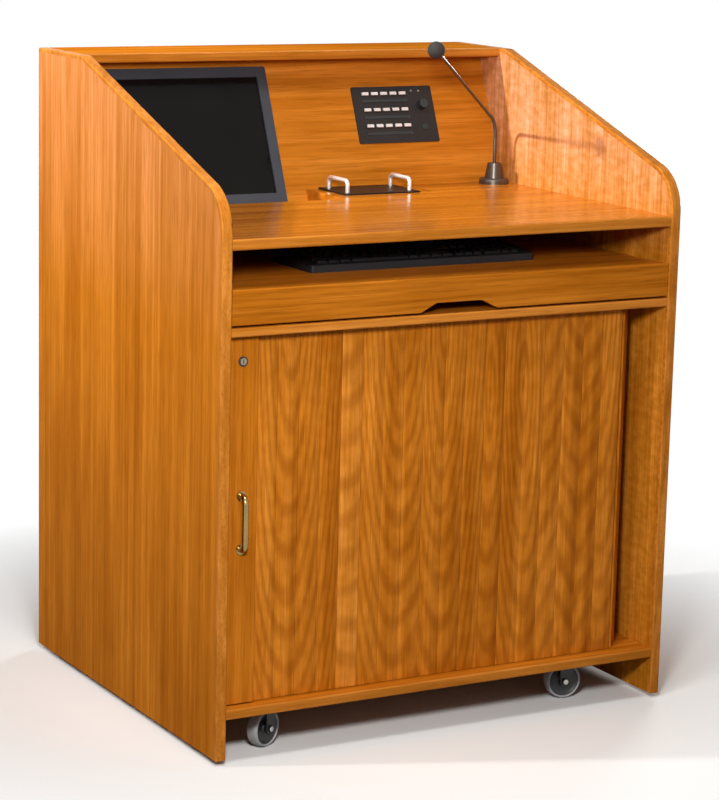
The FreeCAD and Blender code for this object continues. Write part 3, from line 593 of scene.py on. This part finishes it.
rough_skin.texture_coords = "LOCAL"
rough_skin.strength = CELL_DEPTH
rough_skin.mid_level = CELL_LEVEL
bpy.ops.object.modifier_apply(modifier="cells")
foam.data.transform(Matrix.Translation(head_centre))
smooth(foam, 60.0)
foam.data.materials.append(moulded("foam_skin", (0.045, 0.040, 0.038), grain=0.0012, rough=0.85, relief=0.8,
                                   specular=0.15))
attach(foam, "microphone")
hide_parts("mic_head")


# Keyboard tray. A veneered board on runners, a solid oak front with a finger notch, and
# three-member steel drawer slides.

paint(oak("tray_front_oak", "X", pith=(0.2, 0.14, 0.9), tilt=(0.0, 0.01, 0.03), tint=(0.86,) * 3),
      "tray_front")
paint(oak("tray_oak", "X", pith=(0.2, 0.5, 0.95)), "tray_board")
paint(moulded("slide_zinc", (0.55, 0.55, 0.56), grain=0.003, rough=0.35, relief=0.05, metal=1.0),
      "slide_outers", "slide_middles", "slide_inners")


# Keyboard. A black moulded wedge with a sunk key field and tapered keys in the usual blocks:
# letters, arrows and numbers. It lies loose on the tray.

CASE_FRONT = 0.013
CASE_REAR = 0.024
CASE_ROUND = 0.006
CASE_RIM = 0.0016
RIM_RISE = 0.0010
FIELD_INSET = 0.0095
FIELD_WALL = 0.0008
FIELD_SUNK = 0.0016
keyboard_low, keyboard_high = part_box("keyboard")
case_size = keyboard_high - keyboard_low
case_rise = math.atan2(CASE_REAR - CASE_FRONT, case_size.y)
case = block("keyboard_case", (case_size.x, case_size.y, CASE_FRONT))
pick("verts", lambda v: v.co.y > 0 and v.co.z > 0)
bpy.ops.transform.translate(value=(0.0, 0.0, CASE_REAR - CASE_FRONT))
pick("edges", stands)
bpy.ops.mesh.bevel(offset=CASE_ROUND, segments=5, affect="EDGES")
pick("faces", faces_up)
bpy.ops.mesh.inset(thickness=CASE_RIM)
bpy.ops.transform.translate(value=(0.0, 0.0, RIM_RISE))
bpy.ops.mesh.inset(thickness=FIELD_INSET)
bpy.ops.mesh.inset(thickness=FIELD_WALL)
bpy.ops.transform.translate(value=(0.0, 0.0, -FIELD_SUNK))
bpy.ops.object.mode_set(mode="OBJECT")
case.data.transform(Matrix.Translation(((keyboard_low.x + keyboard_high.x) / 2,
                                        (keyboard_low.y + keyboard_high.y) / 2,
                                        keyboard_low.z + CASE_FRONT / 2)))
smooth(case)
keyboard_finish = moulded("keyboard_plastic", (0.014, 0.014, 0.017), grain=0.0010, rough=0.45, specular=0.3)
case.data.materials.append(keyboard_finish)

KEY_UNIT = 0.01905
KEY_SIZE = 0.0176
KEY_TALL = 0.0066
KEY_TOP = (0.74, 0.80, 1.0)
KEY_LEAN = 0.0005
KEY_ROUND = 0.0011
DISH_RIM = 0.0012
DISH_DEPTH = 0.0004
DISH_FLAT = 0.99
KEY_SEAT = 0.0012
key = block("key", (KEY_SIZE, KEY_SIZE, KEY_TALL))
pick("faces", faces_up)
bpy.ops.transform.resize(value=KEY_TOP)
bpy.ops.transform.translate(value=(0.0, KEY_LEAN, 0.0))
pick("faces", lambda f: f.normal.z < -ALIGNED)
bpy.ops.mesh.delete(type="FACE")
pick("edges", lambda e: not e.is_boundary)
bpy.ops.mesh.bevel(offset=KEY_ROUND, segments=2, affect="EDGES")
pick("faces", lambda f: f.normal.z > DISH_FLAT)
bpy.ops.mesh.inset(thickness=DISH_RIM)
bpy.ops.transform.translate(value=(0.0, 0.0, -DISH_DEPTH))
bpy.ops.object.mode_set(mode="OBJECT")
key.data.materials.append(keyboard_finish)


def singles(first, count):
    """Keys of one unit, side by side, as (left edge, width) in key units."""
    return [(first + i, 1) for i in range(count)]


ARROWS = 15.25
NUMBERS = 18.5
NUMBERS_WIDE = 4
ROWS_DEEP = 6.35
KEY_ROWS = (
    (0.00, [(0, 1)] + singles(2, 4) + singles(6.5, 4) + singles(11, 4) + singles(ARROWS, 3)),
    (1.35, singles(0, 13) + [(13, 2)] + singles(ARROWS, 3) + singles(NUMBERS, 4)),
    (2.35, [(0, 1.5)] + singles(1.5, 12) + [(13.5, 1.5)] + singles(ARROWS, 3) + singles(NUMBERS, 4)),
    (3.35, [(0, 1.75)] + singles(1.75, 11) + [(12.75, 2.25)] + singles(NUMBERS, 4)),
    (4.35, [(0, 2.25)] + singles(2.25, 10) + [(12.25, 2.75), (ARROWS + 1, 1)] + singles(NUMBERS, 4)),
    (5.35, [(0, 1.25), (1.25, 1.25), (2.5, 1.25), (3.75, 6.25), (10, 1.25), (11.25, 1.25), (12.5, 1.25),
            (13.75, 1.25)] + singles(ARROWS, 3) + [(NUMBERS, 2)] + singles(NUMBERS + 2, 2)))
field_width = (NUMBERS + NUMBERS_WIDE) * KEY_UNIT
field_depth = ROWS_DEEP * KEY_UNIT
field_low = keyboard_low.y + (case_size.y - field_depth) / 2
keys = []
for down, row_keys in KEY_ROWS:
    y = field_low + field_depth - (down + 0.5) * KEY_UNIT
    z = keyboard_low.z + CASE_FRONT + (y - keyboard_low.y) * math.tan(case_rise) + KEY_SEAT
    for left, wide in row_keys:
        x = (left + wide / 2) * KEY_UNIT - field_width / 2
        made = copy_of(key, "key_%d" % len(keys), Matrix.Identity(4))
        for point in made.data.vertices:
            point.co.x += math.copysign((wide - 1) * KEY_UNIT / 2, point.co.x)
        made.data.transform(Matrix.Translation((x, y, z)) @ Matrix.Rotation(case_rise, 4, "X"))
        keys.append(made)
bpy.data.objects.remove(key)
keyboard = joined("keyboard_whole", [case] + keys)
smooth(keyboard)
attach(keyboard, "tray")
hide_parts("keyboard")


# Tambour slats. Solid oak strips with eased front edges and tongues that run in the grooves above and
# below. Neighbours are mostly ripped from one board, so its figure runs on over two to four slats.

def middle(edge):
    return (edge.verts[0].co + edge.verts[1].co) / 2


SLAT_PITCH = 0.0426
SLAT_WIDTH = 0.0423
SLAT_THICK = 0.012
SLAT_TAPER = 0.002
SLAT_EASE = 0.0006
SLAT_START = 0.00015
SHOULDER = 0.0012
TONGUE_LONG = 0.006
TONGUE_WIDE = 0.020
TONGUE_THICK = 0.006
BEND_RADIUS = 0.050
PATH_START = -0.390
BEND_START = 0.357
curtain_low, curtain_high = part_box("tambour_slats")
slat_line = curtain_low.y + SLAT_THICK / 2
slat_tall = curtain_high.z - curtain_low.z - 2 * TONGUE_LONG
end_wide = SLAT_WIDTH - 3 * SHOULDER
end_thick = SLAT_THICK - 2 * SHOULDER
slat = block("slat", (SLAT_WIDTH, SLAT_THICK, slat_tall))
pick("faces", lambda f: f.normal.y > ALIGNED)
bpy.ops.transform.resize(value=(1.0 - 2 * SLAT_TAPER / SLAT_WIDTH, 1.0, 1.0))
pick("edges", lambda e: stands(e) and middle(e).y < 0)
bpy.ops.mesh.bevel(offset=SLAT_EASE, segments=2, affect="EDGES")
for end in (-1.0, 1.0):
    pick("faces", lambda f: f.normal.z * end > ALIGNED)
    bpy.ops.mesh.inset(thickness=SHOULDER)
    bpy.ops.transform.resize(value=(TONGUE_WIDE / end_wide, TONGUE_THICK / end_thick, 1.0))
    bpy.ops.mesh.extrude_region_move(TRANSFORM_OT_translate={"value": (0.0, 0.0, end * TONGUE_LONG)})
bpy.ops.mesh.select_all(action="SELECT")
bpy.ops.mesh.normals_make_consistent(inside=False)
bpy.ops.object.mode_set(mode="OBJECT")


def slat_place(along):
    """Where a slat stands on its way: along the front, then round the bend into the pocket."""
    straight = BEND_START - PATH_START
    middle_z = (curtain_low.z + curtain_high.z) / 2
    if along <= straight:
        return Matrix.Translation((PATH_START + along, slat_line, middle_z))
    angle = min((along - straight) / BEND_RADIUS, math.pi / 2)
    beyond = max(0.0, along - straight - BEND_RADIUS * math.pi / 2)
    spot = (BEND_START + BEND_RADIUS * math.sin(angle),
            slat_line + BEND_RADIUS * (1 - math.cos(angle)) + beyond, middle_z)
    return Matrix.Translation(spot) @ Matrix.Rotation(angle, 4, "Z")


BOARDS = ((4, 0.062, 0.012), (1, 0.420, 0.000), (3, 0.056, -0.014), (3, 0.050, 0.022), (1, 0.034, 0.004),
          (2, 0.058, -0.006), (1, 0.300, 0.100), (1, 0.360, -0.080), (1, 0.280, 0.060), (1, 0.060, 0.015),
          (2, 0.070, 0.000))
SLAT_TONES = (1.08, 1.06, 1.04, 0.92, 1.20, 1.00, 1.00, 0.98, 1.02, 1.00, 1.00, 0.90, 0.98, 1.00, 1.06, 1.02,
              0.94, 1.08, 1.00, 1.00)
TONE_POWERS = (1.0, 1.5, 4.0)
TRUNK_SPREAD = 0.2
GRAIN_SPREAD = 9.0
SLAT_MARKS = (("slat_trunk", "FLOAT_VECTOR"), ("slat_grain", "FLOAT_VECTOR"), ("slat_tone", "FLOAT_COLOR"))
draw = random.Random(7)
slats = []
for wide, depth, aside in BOARDS:
    trunk_shift = Vector((aside, depth, draw.uniform(-TRUNK_SPREAD, TRUNK_SPREAD)))
    board_shift = Vector([draw.uniform(-GRAIN_SPREAD, GRAIN_SPREAD) for way in "xyz"])
    for part in range(wide):
        i = len(slats)
        on_board = Vector(((part - (wide - 1) / 2) * SLAT_PITCH, 0.0, 0.0))
        made = copy_of(slat, "slat_%d" % (i + 1), Matrix.Identity(4))
        tone = (*[SLAT_TONES[i] ** power for power in TONE_POWERS], 1.0)
        for name, kind in SLAT_MARKS:
            made.data.attributes.new(name, kind, "POINT")
        for point in made.data.vertices:
            made.data.attributes["slat_trunk"].data[point.index].vector = point.co + on_board + trunk_shift
            made.data.attributes["slat_grain"].data[point.index].vector = point.co + on_board + board_shift
            made.data.attributes["slat_tone"].data[point.index].color = tone
        made.data.transform(slat_place(SLAT_START + (i + 0.5) * SLAT_PITCH))
        slats.append(made)
bpy.data.objects.remove(slat)
curtain = joined("tambour_curtain", slats)
smooth(curtain)

slat_finish, slat_tree = new_finish("slat_oak")
slat_grain = wire(slat_tree, "ShaderNodeAttribute", attribute_name="slat_grain")
slat_trunk = wire(slat_tree, "ShaderNodeAttribute", attribute_name="slat_trunk")
slat_tone = wire(slat_tree, "ShaderNodeAttribute", attribute_name="slat_tone")
slat_wood, slat_pores, slat_rings = oak_grain(
    slat_tree, slat_grain.outputs["Vector"], pith=(0.0, 0.0, 0.0), tilt=(0.130, 0.010, 0.0), ring_gap=0.0095,
    figure=0.44, flecks=0.42, tint=(1.01, 1.02, 1.03), trunk_place=slat_trunk.outputs["Vector"], ripple=34.0)
slat_wood = mixed(slat_tree, 1.0, slat_wood, slat_tone.outputs["Color"], "MULTIPLY")
lacquer(slat_tree, slat_wood, slat_pores, slat_rings, gloss=0.24, shine=0.04)
curtain.data.materials.append(slat_finish)

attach(curtain, "cabinet")
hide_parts("tambour_slats")
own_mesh(curtain)


# Canvas backing. One piece of plain-woven cotton duck glued across the backs of all the slats, which
# makes the curtain flexible; it stops short of the tongues.

CANVAS_THICK = 0.0008
CANVAS_SHORT = 0.014
CANVAS_TAIL = 0.006
CANVAS_INSET = 0.0003
GLUE_LINE = 0.00005
FRONT_CUTS = 18
BEND_STEPS = 12
NEAR = 0.0005
canvas_y = slat_line + SLAT_THICK / 2 + GLUE_LINE
canvas_low = curtain_low.z + CANVAS_SHORT
canvas_high = curtain_high.z - CANVAS_SHORT
canvas_left = PATH_START + CANVAS_INSET
bend_centre = Vector((BEND_START, slat_line + BEND_RADIUS, 0.0))
start_piece()
bpy.ops.mesh.primitive_plane_add(size=1.0)
canvas = new_piece("tambour_cloth")
canvas.data.transform(
    Matrix.Translation(((canvas_left + BEND_START) / 2, canvas_y, (canvas_low + canvas_high) / 2))
    @ Matrix.Rotation(math.pi / 2, 4, "X")
    @ Matrix.Diagonal((BEND_START - canvas_left, canvas_high - canvas_low, 1.0, 1.0)))
bpy.ops.object.mode_set(mode="EDIT")
pick("edges", lambda e: abs(run(e).x) > ALIGNED)
bpy.ops.mesh.subdivide(number_cuts=FRONT_CUTS)
pick("edges", lambda e: stands(e) and middle(e).x > BEND_START - NEAR)
bpy.ops.mesh.spin(steps=BEND_STEPS, angle=math.pi / 2, center=bend_centre, axis=(0.0, 0.0, 1.0))
pick("edges", lambda e: stands(e) and middle(e).y > bend_centre.y - NEAR)
bpy.ops.mesh.extrude_region_move(TRANSFORM_OT_translate={"value": (0.0, CANVAS_TAIL, 0.0)})
bpy.ops.mesh.select_all(action="SELECT")
bpy.ops.mesh.remove_doubles(threshold=WELD)
bpy.ops.mesh.normals_make_consistent(inside=False)
bpy.ops.object.mode_set(mode="OBJECT")
if canvas.data.polygons[0].normal.y > 0:
    canvas.data.flip_normals()
cloth_wall = canvas.modifiers.new("cloth_wall", "SOLIDIFY")
cloth_wall.thickness = CANVAS_THICK
cloth_wall.offset = -1.0
bpy.ops.object.modifier_apply(modifier="cloth_wall")
smooth(canvas)

THREAD_SCALE = 190.0
THREAD_DEEP = (0.17, 0.13, 0.085)
THREAD_HIGH = (0.40, 0.33, 0.23)
weave_finish, weave = new_finish("cotton_duck")
weave_place = wire(weave, "ShaderNodeTexCoord").outputs["Object"]
threads = [wire(weave, "ShaderNodeTexWave",
                {"Vector": weave_place, "Scale": THREAD_SCALE, "Distortion": 0.6, "Detail": 1.0},
                wave_type="BANDS", bands_direction=way).outputs["Fac"] for way in ("X", "Z")]
crossing = wire(weave, "ShaderNodeMath", {0: threads[0], 1: threads[1]}, operation="MULTIPLY").outputs[0]
weave_colour = ramp(weave, crossing, [(0.0, THREAD_DEEP), (0.8, THREAD_HIGH)])
weave_shader = weave.nodes["Principled BSDF"]
weave.links.new(weave_colour, weave_shader.inputs["Base Color"])
weave_bump = wire(weave, "ShaderNodeBump", {"Height": crossing, "Strength": 0.5, "Distance": 0.0004})
weave.links.new(weave_bump.outputs[0], weave_shader.inputs["Normal"])
weave_shader.inputs["Roughness"].default_value = 0.9
weave_shader.inputs["Specular IOR Level"].default_value = 0.1
canvas.data.materials.append(weave_finish)
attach(canvas, "cabinet")
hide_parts("tambour_canvas")
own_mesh(canvas)


# Lead stile, pull and lock. A solid oak stile at the curtain's free edge carries a bent brass-plated
# bow pull, screwed from behind, and a nickel-plated cam lock.

paint(oak("stile_oak", "Z", pith=(0.43, -0.30, 0.0), tilt=(0.020, 0.01, 0.0), ring_gap=0.011, figure=0.20,
          tint=(0.94,) * 3), "lead_stile")
paint(moulded("pull_brass", (0.34, 0.24, 0.10), grain=0.004, rough=0.20, relief=0.03, metal=1.0),
      "stile_handle")
# The lock body is coloured near black: painted shade for the dark recess round the nickel plug.
paint(moulded("lock_case", (0.050, 0.040, 0.032), grain=0.002, rough=0.30, relief=0.05, metal=0.5),
      "lock_body")
paint(moulded("lock_nickel", (0.34, 0.29, 0.23), grain=0.002, rough=0.30, relief=0.05, metal=1.0),
      "lock_plug")


# Castor plates and forks. Pressed steel in black paint, riveted with a kingpin so that the fork
# swivels under the plate; the axle is a plain steel bolt.

CASTORS = ("fl", "fr", "bl", "br")
paint(moulded("castor_paint", (0.016, 0.016, 0.017), grain=0.0012, rough=0.40), "castor_plates",
      *["castor_fork_" + corner for corner in CASTORS])


# Castor wheels. A black moulded hub with a raised boss and a dished face, inside a pale grey rubber
# tyre with rounded shoulders. Each turns on a bolt whose heads stand outside the fork.

WHEEL_SIDE = [(0.0080, 0.0098), (0.0100, 0.0096), (0.0120, 0.0070), (0.0230, 0.0062), (0.0270, 0.0084),
              (0.0290, 0.0098), (0.0297, 0.0098), (0.0301, 0.0112), (0.0318, 0.0120), (0.0336, 0.0108),
              (0.0347, 0.0080), (0.0350, 0.0040)]
TYRE_INSIDE = 0.0297
ROUNDING = 0.0001
BOLT_PROFILE = [(0.0058, 0.0), (0.0060, 0.0004), (0.0060, 0.0032), (0.0052, 0.0042), (0.0030, 0.0044)]
FORK_FACE = 0.0165
roll_joints = {joint["name"][len("roll_"):]: joint for joint in frame["record"]["behaviour"]["joints"]
               if joint["name"].startswith("roll_")}
wheel = turned("castor_wheel", [(radius, -out) for radius, out in WHEEL_SIDE] + WHEEL_SIDE[::-1], sides=64)
wheel.data.materials.append(moulded("hub_nylon", (0.012, 0.012, 0.013), grain=0.0012, rough=0.36))
wheel.data.materials.append(moulded("tyre_rubber", (0.40, 0.40, 0.42), grain=0.0015, rough=0.55))
for face in wheel.data.polygons:
    nearest = min(wheel.data.vertices[corner].co.xy.length for corner in face.vertices)
    if nearest > TYRE_INSIDE - ROUNDING:
        face.material_index = 1
bolt = turned("axle_bolt", BOLT_PROFILE, sides=6)
bolt.data.materials.append(moulded("bolt_zinc", (0.55, 0.54, 0.52), grain=0.003, rough=0.30, relief=0.05,
                                   metal=1.0))
for corner in CASTORS:
    axis = Vector(roll_joints[corner]["axis"])
    centre = Vector(roll_joints[corner]["pos_m"])
    aim = axis.to_track_quat("Z", "X").to_matrix().to_4x4()
    whole = copy_of(wheel, "castor_wheel_piece_" + corner, Matrix.Translation(centre) @ aim)
    smooth(whole, 40.0)
    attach(whole, "castor_wheel_" + corner)
    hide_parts("castor_wheel_" + corner)
    heads = []
    for side in (0.0, math.pi):
        place = (Matrix.Translation(centre) @ aim @ Matrix.Rotation(side, 4, "X")
                 @ Matrix.Translation((0.0, 0.0, FORK_FACE)))
        heads.append(copy_of(bolt, "axle_bolt_%s_%d" % (corner, len(heads)), place))
    nuts = joined("axle_bolts_" + corner, heads)
    smooth(nuts)
    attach(nuts, "castor_fork_" + corner)
for piece in (wheel, bolt):
    bpy.data.objects.remove(piece)


# Studio. A pale floor that runs on into the white background, a narrow key lamp far off at the left,
# soft lamps in front, above and behind, and the camera where the photograph was taken from.

def seen_ray(tree, path):
    seen = wire(tree, "ShaderNodeMath", {0: path.outputs["Is Camera Ray"], 1: path.outputs["Is Glossy Ray"]},
                operation="MAXIMUM")
    return wire(tree, "ShaderNodeMath", {0: seen.outputs[0], 1: path.outputs["Is Transmission Ray"]},
                operation="MAXIMUM").outputs[0]


FLOOR_RADIUS = 14.0
FLOOR_SEEN = (0.88, 0.88, 0.88, 1.0)
FLOOR_BOUNCE = (0.30, 0.30, 0.30, 1.0)
FADE_SCALE = 0.25
FADE_STOPS = [(0.16, (0, 0, 0)), (0.34, (1, 1, 1))]
WHITE = (1.0, 1.0, 1.0, 1.0)
WORLD_LIGHT = 0.15
start_piece()
bpy.ops.mesh.primitive_circle_add(vertices=96, radius=FLOOR_RADIUS, fill_type="NGON")
floor = bpy.context.object
floor.name = "floor"
floor_finish, floor_tree = new_finish("floor_white")
floor_shader = floor_tree.nodes["Principled BSDF"]
floor_shader.inputs["Roughness"].default_value = 0.9
floor_place = wire(floor_tree, "ShaderNodeTexCoord")
far = wire(floor_tree, "ShaderNodeVectorMath", {0: floor_place.outputs["Object"]}, operation="LENGTH")
far_share = wire(floor_tree, "ShaderNodeMath", {0: far.outputs["Value"], 1: FADE_SCALE}, operation="MULTIPLY")
fade = ramp(floor_tree, far_share.outputs[0], FADE_STOPS)
floor_path = wire(floor_tree, "ShaderNodeLightPath")
floor_tone = mixed(floor_tree, floor_path.outputs["Is Diffuse Ray"], FLOOR_SEEN, FLOOR_BOUNCE)
floor_tree.links.new(floor_tone, floor_shader.inputs["Base Color"])
floor_white = wire(floor_tree, "ShaderNodeMath", {0: seen_ray(floor_tree, floor_path), 1: fade},
                   operation="MULTIPLY")
glow = wire(floor_tree, "ShaderNodeEmission", {"Color": WHITE, "Strength": 1.0})
floor_mix = wire(floor_tree, "ShaderNodeMixShader",
                 {0: floor_white.outputs[0], 1: floor_shader.outputs[0], 2: glow.outputs[0]})
floor_tree.links.new(floor_mix.outputs[0], floor_tree.nodes["Material Output"].inputs["Surface"])
floor.data.materials.append(floor_finish)

world = bpy.data.worlds.new("studio")
bpy.context.scene.world = world
world.use_nodes = True
sky = world.node_tree
sky_seen = seen_ray(sky, wire(sky, "ShaderNodeLightPath"))
soft = wire(sky, "ShaderNodeBackground", {"Color": WHITE, "Strength": WORLD_LIGHT})
white = wire(sky, "ShaderNodeBackground", {"Color": WHITE, "Strength": 1.0})
either = wire(sky, "ShaderNodeMixShader", {0: sky_seen, 1: soft.outputs[0], 2: white.outputs[0]})
sky.links.new(either.outputs[0], sky.nodes["World Output"].inputs["Surface"])

LAMP_COLOUR = (1.0, 0.98, 0.95)


def soft_lamp(name, place, aim, size, power, spread=180.0):
    start_piece()
    bpy.ops.object.light_add(type="AREA", location=place)
    lamp = bpy.context.object
    lamp.name = name
    lamp.data.shape = "DISK"
    lamp.data.size = size
    lamp.data.energy = power
    lamp.data.color = LAMP_COLOUR
    lamp.data.spread = math.radians(spread)
    lamp.visible_camera = False
    lamp.rotation_euler = (Vector(aim) - Vector(place)).to_track_quat("-Z", "Y").to_euler()


soft_lamp("key_lamp", (-3.791, 0.946, 3.456), aim=(-0.475, 0.35, 1.30), size=0.20, power=9.5, spread=33.4)
soft_lamp("fill_lamp", (-1.3, -2.2, 1.6), aim=(0.0, -0.3, 0.5), size=0.4, power=50.0)
soft_lamp("back_lamp", (2.6, 2.0, 1.1), aim=(0.2, 0.2, 0.7), size=1.2, power=9.0, spread=60.0)
soft_lamp("top_lamp", (-0.6, -0.9, 2.7), aim=(0.0, 0.0, 0.9), size=0.6, power=24.0)

CAMERA_PLACE = (-2.4806, -4.4267, 1.5709)
CAMERA_TURN = math.radians(-29.512)
CAMERA_LIFT = math.radians(11.41)
CAMERA_ROLL = math.radians(1.387)
CAMERA_SENSOR = 36.0
CAMERA_LENS = 120.69
CAMERA_REACH = 60.0
start_piece()
bpy.ops.object.camera_add()
camera = bpy.context.object
bpy.context.scene.camera = camera
right = Vector((math.cos(CAMERA_TURN), math.sin(CAMERA_TURN), 0.0))
away = Vector((math.sin(CAMERA_TURN) * math.cos(CAMERA_LIFT), -math.cos(CAMERA_TURN) * math.cos(CAMERA_LIFT),
               math.sin(CAMERA_LIFT)))
upward = away.cross(right)
across = right * math.cos(CAMERA_ROLL) + upward * math.sin(CAMERA_ROLL)
upward = upward * math.cos(CAMERA_ROLL) - right * math.sin(CAMERA_ROLL)
camera.matrix_world = Matrix((
    (across.x, upward.x, away.x, CAMERA_PLACE[0]),
    (across.y, upward.y, away.y, CAMERA_PLACE[1]),
    (across.z, upward.z, away.z, CAMERA_PLACE[2]),
    (0.0, 0.0, 0.0, 1.0)))
camera.data.sensor_width = CAMERA_SENSOR
camera.data.lens = CAMERA_LENS
camera.data.clip_end = CAMERA_REACH

bpy.context.scene.view_settings.view_transform = "Standard"
